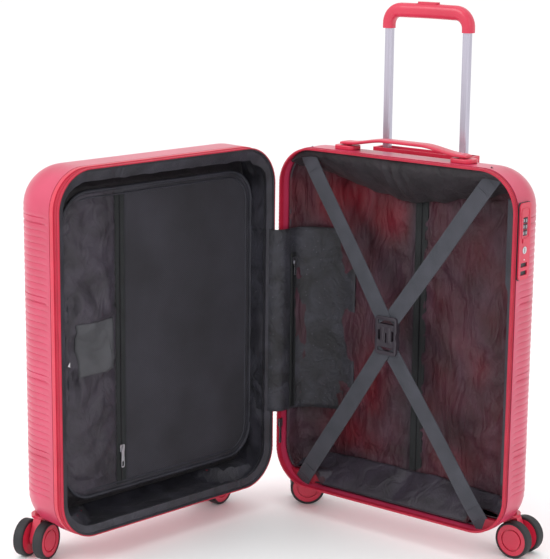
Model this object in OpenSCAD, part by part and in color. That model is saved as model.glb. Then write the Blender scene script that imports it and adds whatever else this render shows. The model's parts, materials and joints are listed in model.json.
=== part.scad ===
// Hard shell suitcase on four twin-wheel casters, drawn standing open.
// Millimetres. The case frame has its floor at z = 0 and the hinge line of the
// two halves at x = 0, y = 0. The back half opens towards -Y and its width runs
// along +X. The lid is drawn closed, in front of the back half, and turned open.

/* [Case] */
// Width of each half across the rim
case_w = 400; // [380:5:440]
// Height of each half across the rim
case_h = 510; // [500:5:540]
// Height of the rim's lower edge above the floor
floor_gap = 40; // [38:1:42]
// Depth of the back half behind the rim plane
back_depth = 95; // [94:1:98]
// Depth of the lid in front of the rim plane, expansion band included
lid_depth = 112; // [108:1:120]
// Radius of the rounded corners and of the rounded back edges
corner_r = 57; // [56:0.5:58]
// Thickness of the shell's wall
shell_t = 2.5; // [2:0.5:2.5]
// Angle by which the lid stands open from closed
lid_open = 96; // [60:1:110]
// Half the gap that the fabric hinge leaves between the two halves
hinge_gap = 2; // [1:0.5:3]

/* [Rim and zips] */
// Depth of the main zip's band on each side of the rim plane
zip_h = 8; // [6:0.5:9]
// Width of the zip that lets the lid expand
expansion_zip_h = 3; // [2:0.5:4]
// Width of the band between the expansion zip and the lid's shell
band_h = 7.4; // [6:0.2:9]

/* [Lining] */
// Thickness of the lining fabric with its backing
lining_t = 1.5; // [1:0.5:2]
// Gap between the shell's inner face and the lining
lining_gap = 2; // [1.5:0.5:2.5]
// Depth of the back half's lining behind the rim plane
lining_depth = 72.3; // [70:0.1:72.5]
// Depth at which the back half's lining starts
lining_start = 25; // [16:1:28]
// Depth of the lid's divider panel in front of the rim plane
divider_depth = 45; // [40:1:50]
// Distance of the divider panel from the rim's upper and lower edges
divider_inset = 38; // [30:1:45]
// Width of the lining's border in the lid's rim plane
border_w = 9.5; // [6:0.5:14]

/* [Trolley] */
// Distance between the two telescopic tubes
tube_spacing = 130; // [120:1:140]
// Depth of the tubes' centres behind the rim plane
tube_y = 80; // [79:1:81]
// Width of the top tube
tube_w = 11.5; // [10:0.5:13]
// Depth of the top tube
tube_d = 9; // [8:0.5:9]
// Travel of the grip between stowed and its first stop
grip_travel = 200; // [180:5:200]
// Height of the grip's top face at its first stop
grip_top = 757; // [757:1:765]

/* [Casters] */
// Outer radius of a wheel
wheel_r = 26; // [25:0.5:26]
// Width of one of the twin wheels
wheel_w = 15; // [13:1:15]
// Gap between the twin wheels
wheel_gap = 16; // [15:1:17]
// Horizontal distance from the swivel axis to the axle
trail = 19; // [17:1:19]
// Distance of the swivel axis from the side of the case
caster_side = 33; // [32:1:36]
// Distance of the swivel axis from the back of the shell
caster_back = 27; // [26:1:29]

/* [Hidden] */
$fn = 64;

red = [0.75, 0.16, 0.26];
dark_red = [0.55, 0.08, 0.16];
fabric_grey = [0.22, 0.21, 0.25];
webbing_grey = [0.32, 0.34, 0.38];
black = [0.10, 0.10, 0.11];
silver = [0.78, 0.79, 0.81];
plastic_grey = [0.38, 0.38, 0.41];
tyre_grey = [0.20, 0.20, 0.22];

// Case outline, in the case frame
x0 = hinge_gap;
x1 = hinge_gap + case_w;
x_mid = (x0 + x1) / 2;
z0 = floor_gap;
z1 = floor_gap + case_h;
z_mid = (z0 + z1) / 2;
rim_clear = 0.4;

// Origin: the centre of the standing open case's box, on the floor
box_centre_x = 133.1;
box_centre_y = -155.9;

// Radii from the corner centres, from the outside in
tape_r = corner_r - shell_t;
tape_t = 1.2;
lining_r = tape_r - lining_gap;
fall_t = 2;
shell_gap = 0.6;
band_start = rim_clear + zip_h + expansion_zip_h;
back_shell_start = rim_clear + zip_h + shell_gap;
lid_shell_start = band_start + band_h + shell_gap;
zip_r = corner_r - 0.8;
expansion_zip_r = corner_r - 1.6;

// Casters: swivel axis, wheel well and stem
well_r = 50.5;
well_top = 58;
mount_t = 2.5;
boss_r = 12;
boss_top = 74;
stem_end = 2;
stem_r = 5;
stem_clear = 0.05;
axle_r = 3;
hub_r = 22.5;
hub_groove_r = 15;
fork_web = 12;
fork_disc_r = 17;
fork_disc_t = 4;
swivel_gap = 0.6;
back_caster_y = back_depth - caster_back;
lid_caster_y = -(lid_depth - caster_back);

// Trolley: each stage runs in the next with flat clearance all round
stage_gap = 0.3;
tube_t = 1;
mid_w = tube_w + 2 * (stage_gap + tube_t);
mid_d = tube_d + 2 * (stage_gap + tube_t);
out_w = mid_w + 2 * (stage_gap + tube_t);
out_d = mid_d + 2 * (stage_gap + tube_t);
tube_xs = [x_mid - tube_spacing / 2, x_mid + tube_spacing / 2];
bezel_w = 164;
bezel_front = 69;
bezel_bottom = z1 - 37;
bezel_top = z1 + 1;
bezel_floor = 6;
bezel_wall = 1.5;
bracket_bottom = z0 + 36;
outer_bottom = z0 + 40;
middle_bottom = outer_bottom + 17;
inner_bottom = middle_bottom + 5 + grip_travel;
grip_w = 151;
grip_d = 18;
grip_bar = 20;
grip_arm = 37;
grip_arm_w = 22;
button_w = 34;
button_d = 10;
button_h = 8;
button_proud = 2;
button_gap = 0.4;

// Carry handle: a flat bow whose two tabs slide in mounts on top of the shell
handle_half = 98;
handle_y = 30;
handle_w = 22;
handle_t = 5;
tab_w = 10;
mount_h = 6;
mount_depth = 14;

// Combination lock on the outer side wall of the back half
lock_y = 22.5;
lock_w = 27;
lock_z0 = 404;
lock_z1 = 508;
lock_proud = 2.5;
lock_back = 16;
dial_r = 8;
dial_t = 7;
dial_pitch = 8.4;
dial_z = 476;
dial_gap = 0.4;
dial_axis_in = 4;
dial_axle_r = 1.5;
button_z = 457;
key_z = 444;
key_r = 5;
slot_zs = [424, 413];

// Straps and buckle, in a plane behind the rim
strap_w = 25;
strap_t = 1.6;
strap_y = 9;
strap_corner = 52;
buckle_w = 37;
buckle_h = 55;
buckle_t = 9;

// Flap over the hinge line, with its pocket zip
flap_z0 = 150;
flap_z1 = 425;
flap_t = 1.6;
flap_wall_x = x0 + corner_r - lining_r + lining_t + 2.8;
flap_fold_y = 34;
flap_end_x = 94;
flap_end_y = lining_depth - lining_t - flap_t - 0.6;

// ---------------------------------------------------------------- placing

// Puts case-frame geometry on the part's own origin
module in_case() {
    translate([-box_centre_x, -box_centre_y, 0]) children();
}

// Turns the closed lid open about the hinge line
module in_lid() {
    in_case() rotate([0, 0, -lid_open]) children();
}

// ---------------------------------------------------------------- profiles

// Quarter of a dish's filled section: straight side, then a quarter round.
// Its x runs out from the corner centres and its y is the depth.
module filled_section(r, start, depth) {
    translate([0, start]) square([r, depth - r - start]);
    intersection() {
        translate([0, depth - r]) circle(r, $fn = 128);
        translate([0, depth - r]) square(r);
    }
}

// Wall of a dish, t thick
module wall_section(r, t, start, depth) {
    difference() {
        filled_section(r, start, depth);
        filled_section(r - t, start - 1, depth - t);
    }
}

// Plain ring section between two radii and two depths
module ring_section(r_in, r_out, y_from, y_to) {
    translate([r_in, y_from]) square([r_out - r_in, y_to - y_from]);
}

// Carries a section round the case outline, depth towards +Y
module around() {
    left = x0 + corner_r;
    right = x1 - corner_r;
    low = z0 + corner_r;
    high = z1 - corner_r;
    for (c = [[right, low, 0], [left, low, 90], [left, high, 180], [right, high, 270]])
        translate([c[0], 0, c[1]])
            rotate([-90, 0, 0])
                rotate([0, 0, c[2]])
                    rotate_extrude(angle = 90, $fn = 128) children();
    translate([right, 0, low]) linear_extrude(high - low) children();
    translate([left, 0, low]) mirror([1, 0, 0]) linear_extrude(high - low) children();
    translate([right, 0, high])
        rotate([0, -90, 0]) linear_extrude(right - left) children();
    translate([right, 0, low])
        mirror([0, 0, 1])
            rotate([0, -90, 0]) linear_extrude(right - left) children();
}

// Flat middle of a dish, between two depths
module middle_plate(y_from, y_to) {
    translate([x0 + corner_r, y_from, z0 + corner_r])
        cube([case_w - 2 * corner_r, y_to - y_from, case_h - 2 * corner_r]);
}

// Hollow dish with its mouth at depth start
module dish(r, t, start, depth) {
    around() wall_section(r, t, start, depth);
    middle_plate(depth - t, depth);
}

// The same dish, filled
module dish_filled(r, start, depth) {
    around() filled_section(r, start, depth);
    middle_plate(start, depth);
}

// Rectangle with round corners, centred
module round_rect(w, h, r) {
    difference() {
        square([w, h], center = true);
        for (sx = [-1, 1], sy = [-1, 1])
            translate([sx * (w / 2 - r), sy * (h / 2 - r)])
                difference() {
                    translate([sx > 0 ? 0 : -r - 1, sy > 0 ? 0 : -r - 1]) square(r + 1);
                    circle(r);
                }
    }
}

// Axis-aligned box between two corners
module span(a, b) {
    translate(a) cube(b - a);
}

// ---------------------------------------------------------------- shells

module caster_places(y) {
    for (x = [x0 + caster_side, x1 - caster_side]) translate([x, y, 0]) children();
}

// Room that a wheel well and its swivel bearing take
module caster_room(grow = 0) {
    cylinder(r = well_r + mount_t + grow, h = well_top + mount_t + grow);
    cylinder(r = boss_r + grow, h = boss_top + stem_end + grow);
}

module bezel_box(grow = 0) {
    span([x_mid - bezel_w / 2 - grow, bezel_front - grow, bezel_bottom - grow],
         [x_mid + bezel_w / 2 + grow, back_depth, bezel_top + grow]);
}

module lock_box(grow = 0) {
    span([x1 - lock_back - grow, lock_y - lock_w / 2 + 2 - grow, lock_z0 + 2 - grow],
         [x1 + 10, lock_y + lock_w / 2 - 2 + grow, lock_z1 - 2 + grow]);
}

module handle_boxes(grow = 0) {
    for (s = [-1, 1])
        span([x_mid + s * handle_half - 9 - grow, handle_y - 11 - grow, z1 - mount_depth - grow],
             [x_mid + s * handle_half + 9 + grow, handle_y + 11 + grow, z1 + 10]);
}

module back_shell() {
    color(red) in_case() difference() {
        dish(corner_r, shell_t, back_shell_start, back_depth);
        caster_places(back_caster_y) caster_room();
        bezel_box();
        lock_box();
        handle_boxes();
    }
}

module lid_shell() {
    color(red) in_lid() difference() {
        mirror([0, 1, 0]) dish(corner_r, shell_t, lid_shell_start, lid_depth);
        caster_places(lid_caster_y) caster_room();
    }
}

// Wheel wells, moulded to the shell's outer form, each with a swivel bearing
module caster_mounts(y) {
    difference() {
        union() {
            intersection() {
                children();
                caster_places(y) cylinder(r = well_r + mount_t, h = well_top + mount_t);
            }
            caster_places(y)
                translate([0, 0, well_top]) cylinder(r = boss_r, h = boss_top - well_top);
        }
        caster_places(y) translate([0, 0, -1]) cylinder(r = well_r, h = well_top + 1);
        caster_places(y) cylinder(r = stem_r + stem_clear, h = boss_top + 1);
    }
}

module back_caster_mounts() {
    color(dark_red) in_case()
        caster_mounts(back_caster_y) dish_filled(corner_r, back_shell_start, back_depth);
}

module lid_caster_mounts() {
    color(dark_red) in_lid()
        caster_mounts(lid_caster_y)
            mirror([0, 1, 0]) dish_filled(corner_r, lid_shell_start, lid_depth);
}

// ---------------------------------------------------------------- zips and rim

// Half of the main zip: a raised band at the rim plane on a tape inside the shell
module back_zip() {
    color(dark_red) in_case() around() {
        ring_section(tape_r - tape_t, zip_r, rim_clear, rim_clear + zip_h);
        ring_section(tape_r - tape_t, tape_r, rim_clear, rim_clear + zip_h + 2);
    }
}

// The lid's half of the main zip, and the expansion zip behind it
module lid_zips() {
    color(dark_red) in_lid() mirror([0, 1, 0]) {
        around() ring_section(tape_r, zip_r, rim_clear, rim_clear + zip_h);
        around() ring_section(tape_r, expansion_zip_r, rim_clear + zip_h, band_start);
    }
}

module lid_band() {
    color(red) in_lid() mirror([0, 1, 0]) around()
        ring_section(tape_r, corner_r, band_start, band_start + band_h);
}

// Folded fabric inside the two zips, which lets the lid grow
module expansion_gusset() {
    color(fabric_grey) in_lid() mirror([0, 1, 0]) around()
        ring_section(tape_r - tape_t, tape_r, rim_clear, lid_shell_start + 8);
}

// Slider of the main zip with its pull tab, parked low on the hinge side
module main_slider() {
    slider_z = z0 + 86;
    face = x0 + corner_r - tape_r + tape_t;
    color(silver) in_case() translate([face, rim_clear, slider_z]) {
        span([0, 0, 0], [3, 8, 12]);
        translate([0, 0, -26]) span([0.5, 2, 0], [2.5, 6, 26]);
    }
}

// ---------------------------------------------------------------- linings

// Slanting fall of the lining between two (depth, height) points, along x
module lining_fall(from, to) {
    fall_half = case_w / 2 - corner_r - 3;
    translate([x_mid - fall_half, 0, 0]) rotate([90, 0, 90]) linear_extrude(2 * fall_half)
        polygon([from, from + [fall_t, 0], to + [0, fall_t], to]);
}

module back_lining() {
    color(fabric_grey) in_case() difference() {
        union() {
            dish(lining_r, lining_t, lining_start, lining_depth);
            lining_fall([11, z1 - shell_t - 0.2], [lining_depth - lining_t / 2, z1 - 58]);
        }
        caster_places(back_caster_y) caster_room(0.5);
        bezel_box(0.5);
        lock_box(0.5);
        handle_boxes(0.5);
    }
}

module lid_lining() {
    start = rim_clear + 3;
    color(fabric_grey) in_lid() difference() {
        mirror([0, 1, 0]) {
            dish(lining_r, lining_t, start, lid_depth - 6);
            around() ring_section(lining_r - border_w, lining_r, start, start + lining_t);
        }
        caster_places(lid_caster_y) caster_room(0.5);
        span([x0, -start - lining_t - 1, flap_z0 - 0.5], [x0 + 20, 0, flap_z1 + 0.5]);
    }
}

// Access zip up the middle of the back lining, and the zip of the flap's pocket
module lining_zips() {
    front = lining_depth - lining_t;
    color(black) in_case() {
        span([x_mid - 11, front - 1.5, z0 + corner_r + 1], [x_mid + 11, front, z0 + 424]);
        translate([flap_wall_x + flap_t, flap_fold_y - 16, flap_z0 + 4])
            cube([1.2, 12, flap_z1 - flap_z0 - 40]);
    }
}

// Fabric wall across the lid, with its opening closed by the divider zip
module divider_panel() {
    inset = corner_r - lining_r + lining_t + 0.5;
    color(fabric_grey) in_lid()
        translate([x_mid, -divider_depth, z_mid])
            rotate([90, 0, 0])
                linear_extrude(2)
                    round_rect(case_w - 2 * inset, case_h - 2 * divider_inset, corner_r - inset);
}

zip_u = x0 + 260;
zip_low = z0 + 66;
zip_high = z0 + 458;

module divider_zip() {
    color(black) in_lid()
        span([zip_u - 9, -divider_depth, zip_low], [zip_u + 9, -divider_depth + 1.4, zip_high]);
}

// A slider body with its pull hanging below, on a face that looks towards +Y
module slider_and_pull() {
    span([-4.5, 0, 0], [4.5, 4, 12]);
    span([-2.5, 1.2, -24], [2.5, 3, 0]);
}

module divider_slider() {
    color(silver) in_lid()
        translate([zip_u, -divider_depth + 1.7, zip_low + 30]) slider_and_pull();
}

module pocket_slider() {
    color(silver) in_case()
        translate([flap_wall_x + flap_t + 1.5, flap_fold_y - 10, flap_z1 - 50])
            rotate([0, 0, -90]) slider_and_pull();
}

// Flap over the hinge: along the side wall, then across to the back lining
module hinge_flap_back() {
    color(fabric_grey) in_case()
        translate([0, 0, flap_z0])
            linear_extrude(flap_z1 - flap_z0)
                polygon([
                    [flap_wall_x, 6],
                    [flap_wall_x + flap_t, 6],
                    [flap_wall_x + flap_t, flap_fold_y - 1],
                    [flap_end_x, flap_end_y],
                    [flap_end_x, flap_end_y + flap_t],
                    [flap_wall_x, flap_fold_y]
                ]);
}

module hinge_flap_lid() {
    color(fabric_grey) in_lid()
        span([flap_wall_x, -divider_depth + 0.6, flap_z0],
             [flap_wall_x + flap_t, -6, flap_z1]);
}

// ---------------------------------------------------------------- straps

// One strap from near a corner to the buckle, in the strap plane
module strap(sx, sz) {
    from = [x_mid + sx * (case_w / 2 - strap_corner), z_mid + sz * (case_h / 2 - 24)];
    to = [x_mid + sx * 5, z_mid + sz * (buckle_h / 2 - 6)];
    length = norm(to - from);
    lean = atan2(to[1] - from[1], to[0] - from[0]);
    translate([from[0], strap_y + (sx > 0 ? strap_t + 0.4 : 0), from[1]])
        rotate([0, -lean, 0])
            translate([0, 0, -strap_w / 2]) cube([length, strap_t, strap_w]);
}

module cross_straps() {
    color(webbing_grey) in_case() for (sx = [-1, 1], sz = [-1, 1]) strap(sx, sz);
}

module buckle_half(h_from, h_to, w) {
    translate([x_mid - w / 2, strap_y - 3, z_mid + h_from]) cube([w, buckle_t, h_to - h_from]);
}

module buckle_socket() {
    color(black) in_case() difference() {
        buckle_half(-6, buckle_h / 2, buckle_w);
        translate([x_mid - 12, strap_y - 1, z_mid - 7]) cube([24, 5, 20]);
    }
}

module buckle_plug() {
    color(black) in_case() {
        buckle_half(-buckle_h / 2, -6, buckle_w);
        for (s = [-1, 1])
            translate([x_mid + s * 8 - 2.5, strap_y, z_mid - 6]) cube([5, 3.4, 17]);
    }
}

// ---------------------------------------------------------------- lock

module dial_places() {
    for (i = [-1, 0, 1]) translate([0, 0, dial_z + i * dial_pitch]) children();
}

module lock_housing() {
    axis_x = x1 - dial_axis_in;
    color(red) in_case() difference() {
        union() {
            lock_box_body();
            translate([x1, lock_y, (lock_z0 + lock_z1) / 2])
                rotate([90, 0, 90])
                    linear_extrude(lock_proud) round_rect(lock_w, lock_z1 - lock_z0, 6);
        }
        translate([axis_x, lock_y, 0]) dial_places()
            translate([0, 0, -dial_t / 2 - dial_gap])
                cylinder(r = dial_r + dial_gap, h = dial_t + 2 * dial_gap);
        span([x1 - 5, lock_y - 6 - dial_gap, button_z - 3 - dial_gap],
             [x1 + 10, lock_y + 6 + dial_gap, button_z + 3 + dial_gap]);
        translate([x1 - 10, lock_y, key_z])
            rotate([0, 90, 0]) cylinder(r = key_r + 0.05, h = 20);
        for (z = slot_zs) span([x1 - 8, lock_y - 8, z - 3], [x1 + 10, lock_y + 8, z + 3]);
    }
    color(silver) in_case()
        translate([axis_x, lock_y, dial_z - 1.65 * dial_pitch])
            cylinder(r = dial_axle_r, h = 3.65 * dial_pitch);
}

module lock_box_body() {
    intersection() {
        lock_box();
        span([0, 0, 0], [x1, back_depth, z1]);
    }
}

module lock_dial(i) {
    color(black) in_case()
        translate([x1 - dial_axis_in, lock_y, dial_z + i * dial_pitch - dial_t / 2])
            difference() {
                cylinder(r = dial_r, h = dial_t);
                translate([0, 0, -1]) cylinder(r = dial_axle_r + 0.05, h = dial_t + 2);
            }
}

module lock_button() {
    color(red) in_case()
        span([x1 - 2, lock_y - 6, button_z - 3], [x1 + lock_proud + 1.4, lock_y + 6, button_z + 3]);
}

module key_cylinder() {
    color(silver) in_case() translate([x1 - 9.6, lock_y, key_z]) rotate([0, 90, 0])
        difference() {
            cylinder(r = key_r, h = 9.6 + lock_proud + 0.4);
            translate([-3.5, -0.6, 9]) cube([7, 1.2, 10]);
        }
}

// ---------------------------------------------------------------- trolley

module tube(w, d, z_from, z_to) {
    for (x = tube_xs) translate([x, tube_y, z_from]) linear_extrude(z_to - z_from)
        difference() {
            round_rect(w, d, 2);
            round_rect(w - 2 * tube_t, d - 2 * tube_t, 1);
        }
}

module outer_tubes() {
    color(silver) in_case() tube(out_w, out_d, outer_bottom, bezel_bottom);
}

module middle_tubes() {
    color(silver) in_case() tube(mid_w, mid_d, middle_bottom, bezel_bottom + bezel_floor - 1);
}

module inner_tubes() {
    color(silver) in_case() tube(tube_w, tube_d, inner_bottom, grip_top - grip_bar);
}

// Foot that ties the tubes' lower ends to the back shell
module tube_bracket() {
    color(black) in_case() difference() {
        span([x_mid - tube_spacing / 2 - 15, tube_y - out_d / 2 - 0.2, bracket_bottom],
             [x_mid + tube_spacing / 2 + 15, tube_y + 8, bracket_bottom + 16]);
        for (x = tube_xs)
            translate([x, tube_y, outer_bottom]) linear_extrude(20) square([out_w, out_d], center = true);
    }
}

module trolley_bezel() {
    color(plastic_grey) in_case() difference() {
        bezel_box();
        span([x_mid - grip_w / 2 - 2.5, bezel_front + bezel_wall, bezel_bottom + bezel_floor],
             [x_mid + grip_w / 2 + 2.5, back_depth - bezel_wall, bezel_top + 1]);
        for (x = tube_xs)
            translate([x, tube_y, bezel_bottom - 1]) linear_extrude(20)
                square([mid_w + 2 * stage_gap, mid_d + 2 * stage_gap], center = true);
    }
}

module trolley_grip() {
    z_bar = grip_top - grip_bar;
    color(red) in_case() difference() {
        translate([x_mid, tube_y + grip_d / 2, 0]) rotate([90, 0, 0]) linear_extrude(grip_d)
            difference() {
                translate([0, grip_top - grip_arm / 2]) round_rect(grip_w, grip_arm, 9);
                translate([0, z_bar - 20]) round_rect(grip_w - 2 * grip_arm_w, 40, 8);
            }
        for (x = tube_xs)
            translate([x, tube_y, grip_top - grip_arm - 1])
                linear_extrude(grip_arm - grip_bar + 1) round_rect(tube_w, tube_d, 2);
        translate([x_mid, tube_y, grip_top - button_h - 3])
            linear_extrude(button_h + 4)
                square([button_w + 2 * button_gap, button_d + 2 * button_gap], center = true);
    }
}

module release_button() {
    color(plastic_grey) in_case()
        translate([x_mid, tube_y, grip_top - button_h + button_proud])
            linear_extrude(button_h) round_rect(button_w, button_d, 4);
}

// ---------------------------------------------------------------- carry handle

module carry_handle() {
    low = z1 + mount_h + 1;
    high = low + handle_t;
    color(red) in_case() translate([x_mid, handle_y + handle_w / 2, 0]) rotate([90, 0, 0]) {
        linear_extrude(handle_w)
            polygon([
                [-handle_half - 8, low], [-handle_half + 12, low], [-handle_half + 34, low + 5],
                [handle_half - 34, low + 5], [handle_half - 12, low], [handle_half + 8, low],
                [handle_half + 8, high - 1], [handle_half - 12, high], [handle_half - 34, high + 5],
                [-handle_half + 34, high + 5], [-handle_half + 12, high], [-handle_half - 8, high - 1]
            ]);
        for (s = [-1, 1])
            translate([s * handle_half - tab_w / 2, z1 - mount_depth + 2, 4])
                cube([tab_w, mount_h + mount_depth, handle_w - 8]);
    }
}

module handle_mounts() {
    color(dark_red) in_case() for (s = [-1, 1]) translate([x_mid + s * handle_half, 0, 0])
        difference() {
            union() {
                span([-9, handle_y - 11, z1 - mount_depth], [9, handle_y + 11, z1]);
                translate([0, handle_y, z1]) linear_extrude(mount_h) round_rect(34, 26, 8);
            }
            span([-tab_w / 2 - 0.4, handle_y - handle_w / 2 + 3.6, z1 - mount_depth + 1.5],
                 [tab_w / 2 + 0.4, handle_y + handle_w / 2 - 3.6, z1 + mount_h + 1]);
        }
}

// ---------------------------------------------------------------- casters

// Each caster: its place in the case frame, its heading and whether it is the lid's.
// The heading is the direction in which the wheels trail, before the lid is opened.
CASTERS = [
    [x1 - caster_side, back_caster_y, 0, false],
    [x0 + caster_side, back_caster_y, 219, false],
    [x1 - caster_side, lid_caster_y, 20, true],
    [x0 + caster_side, lid_caster_y, 10, true]
];

module at_caster(i) {
    c = CASTERS[i - 1];
    in_case()
        rotate([0, 0, c[3] ? -lid_open : 0])
            translate([c[0], c[1], 0])
                rotate([0, 0, c[2]]) children();
}

module across_axle() {
    translate([trail, 0, wheel_r]) rotate([90, 0, 0]) children();
}

module fork(i) {
    disc_top = well_top - swivel_gap;
    color(red) at_caster(i) difference() {
        union() {
            translate([0, 0, disc_top - fork_disc_t]) cylinder(r = fork_disc_r, h = fork_disc_t);
            translate([0, 0, disc_top - 1]) cylinder(r = stem_r, h = boss_top - disc_top + stem_end + 1);
            translate([0, fork_web / 2, 0]) rotate([90, 0, 0]) linear_extrude(fork_web) {
                translate([trail, wheel_r]) circle(9);
                polygon([
                    [-14, disc_top - fork_disc_t], [fork_disc_r, disc_top - fork_disc_t],
                    [trail + 9, wheel_r + 2], [trail, wheel_r - 7], [trail - 9, wheel_r]
                ]);
            }
        }
        across_axle() translate([0, 0, -20]) cylinder(r = axle_r, h = 40);
    }
}

module axle(i) {
    length = wheel_gap + 2 * wheel_w - 6;
    color(silver) at_caster(i)
        across_axle() translate([0, 0, -length / 2]) cylinder(r = axle_r, h = length);
}

module on_wheel(i, side) {
    at_caster(i) across_axle()
        mirror([0, 0, side == "a" ? 0 : 1]) translate([0, 0, wheel_gap / 2]) children();
}

module hub(i, side) {
    color(red) on_wheel(i, side) difference() {
        cylinder(r = hub_r, h = wheel_w - 1);
        translate([0, 0, -1]) cylinder(r = axle_r + 0.05, h = wheel_w - 1);
        translate([0, 0, wheel_w - 3])
            difference() {
                cylinder(r = hub_groove_r + 1, h = 3);
                cylinder(r = hub_groove_r - 1, h = 3);
            }
    }
}

module tyre(i, side) {
    round_r = 2.5;
    color(tyre_grey) on_wheel(i, side)
        rotate_extrude() difference() {
            translate([hub_r, 0]) square([wheel_r - hub_r, wheel_w]);
            for (end = [0, 1]) translate([wheel_r - round_r, end * wheel_w])
                mirror([0, end, 0]) difference() {
                    square(round_r + 1);
                    translate([0, round_r]) circle(round_r);
                }
        }
}

// ---------------------------------------------------------------- nodes

back_shell();
back_zip();
back_lining();
lining_zips();
cross_straps();
buckle_socket();
buckle_plug();
hinge_flap_back();
lock_housing();
trolley_bezel();
outer_tubes();
tube_bracket();
handle_mounts();
back_caster_mounts();
main_slider();
pocket_slider();
for (i = [1, 2, 3]) lock_dial(i - 2);
lock_button();
key_cylinder();
middle_tubes();
inner_tubes();
trolley_grip();
release_button();
carry_handle();
lid_shell();
lid_band();
expansion_gusset();
lid_zips();
lid_lining();
divider_panel();
divider_zip();
hinge_flap_lid();
lid_caster_mounts();
divider_slider();
for (i = [1 : 4]) {
    fork(i);
    axle(i);
    for (side = ["a", "b"]) {
        hub(i, side);
        tyre(i, side);
    }
}
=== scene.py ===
"""Looks of the hard shell suitcase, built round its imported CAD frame.

Lengths are in millimetres in each half's own frame: x runs away from the hinge line,
y is the depth behind (back half) or in front of (lid) the rim plane, z is the height.
CASE and LID carry them into the row frame, in metres.
"""

import json
import math

import bmesh
import bpy
import numpy as np
from mathutils import Matrix, Vector, noise
from mathutils.bvhtree import BVHTree


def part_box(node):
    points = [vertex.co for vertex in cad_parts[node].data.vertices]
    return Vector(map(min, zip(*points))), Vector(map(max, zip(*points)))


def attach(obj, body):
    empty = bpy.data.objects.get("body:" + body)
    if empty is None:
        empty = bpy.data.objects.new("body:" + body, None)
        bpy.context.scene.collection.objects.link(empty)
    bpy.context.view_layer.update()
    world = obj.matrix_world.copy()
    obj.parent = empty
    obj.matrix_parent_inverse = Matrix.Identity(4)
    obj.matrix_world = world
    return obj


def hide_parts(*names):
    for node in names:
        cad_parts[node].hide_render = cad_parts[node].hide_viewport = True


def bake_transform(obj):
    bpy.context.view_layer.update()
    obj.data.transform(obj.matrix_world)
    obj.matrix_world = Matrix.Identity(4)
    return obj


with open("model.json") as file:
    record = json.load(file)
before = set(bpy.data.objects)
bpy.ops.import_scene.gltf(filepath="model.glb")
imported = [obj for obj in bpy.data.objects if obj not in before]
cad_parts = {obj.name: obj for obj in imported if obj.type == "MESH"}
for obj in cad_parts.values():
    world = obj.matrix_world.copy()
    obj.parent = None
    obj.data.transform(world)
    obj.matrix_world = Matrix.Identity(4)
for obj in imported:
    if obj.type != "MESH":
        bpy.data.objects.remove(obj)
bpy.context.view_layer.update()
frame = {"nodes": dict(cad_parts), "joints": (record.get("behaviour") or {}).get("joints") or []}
joints = {j["name"]: j for j in frame["joints"]}

# ------------------------------------------------------------------ places and sizes

MM = 0.001
HINGE = Vector(joints["lid_hinge"]["pos_m"])
OPEN = math.radians(joints["lid_hinge"]["range_deg"][1])
CASE = Matrix.Translation((HINGE.x, HINGE.y, 0)) @ Matrix.Scale(MM, 4)
LID = (Matrix.Translation((HINGE.x, HINGE.y, 0)) @ Matrix.Rotation(-OPEN, 4, "Z")
       @ Matrix.Scale(MM, 4) @ Matrix.Diagonal((1, -1, 1, 1)))


def case_box(node):
    """Lowest and highest corner of a back half's node, in the case frame."""
    lo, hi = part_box(node)
    back = CASE.inverted()
    return back @ lo, back @ hi


back_lo, back_hi = case_box("back_shell")
X0, X1, Z0, Z1 = back_lo.x, back_hi.x, back_lo.z, back_hi.z
XM, ZM = (X0 + X1) / 2, (Z0 + Z1) / 2
BACK_DEPTH = back_hi.y
LID_DEPTH = 112
R = 57
SHELL_T = 2.5
BACK_START = back_lo.y
LID_START = 19.4
RIM = 0.4
ZIP_H = 8
TAPE_R = R - SHELL_T
CENTRES_X = (X0 + R, X1 - R)
CENTRES_Z = (Z0 + R, Z1 - R)

# ------------------------------------------------------------------ materials


def srgb(r, g, b):
    """A linear colour from 8-bit sRGB values."""
    parts = [c / 255 for c in (r, g, b)]
    return [c / 12.92 if c <= 0.04045 else ((c + 0.055) / 1.055) ** 2.4 for c in parts] + [1]


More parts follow.
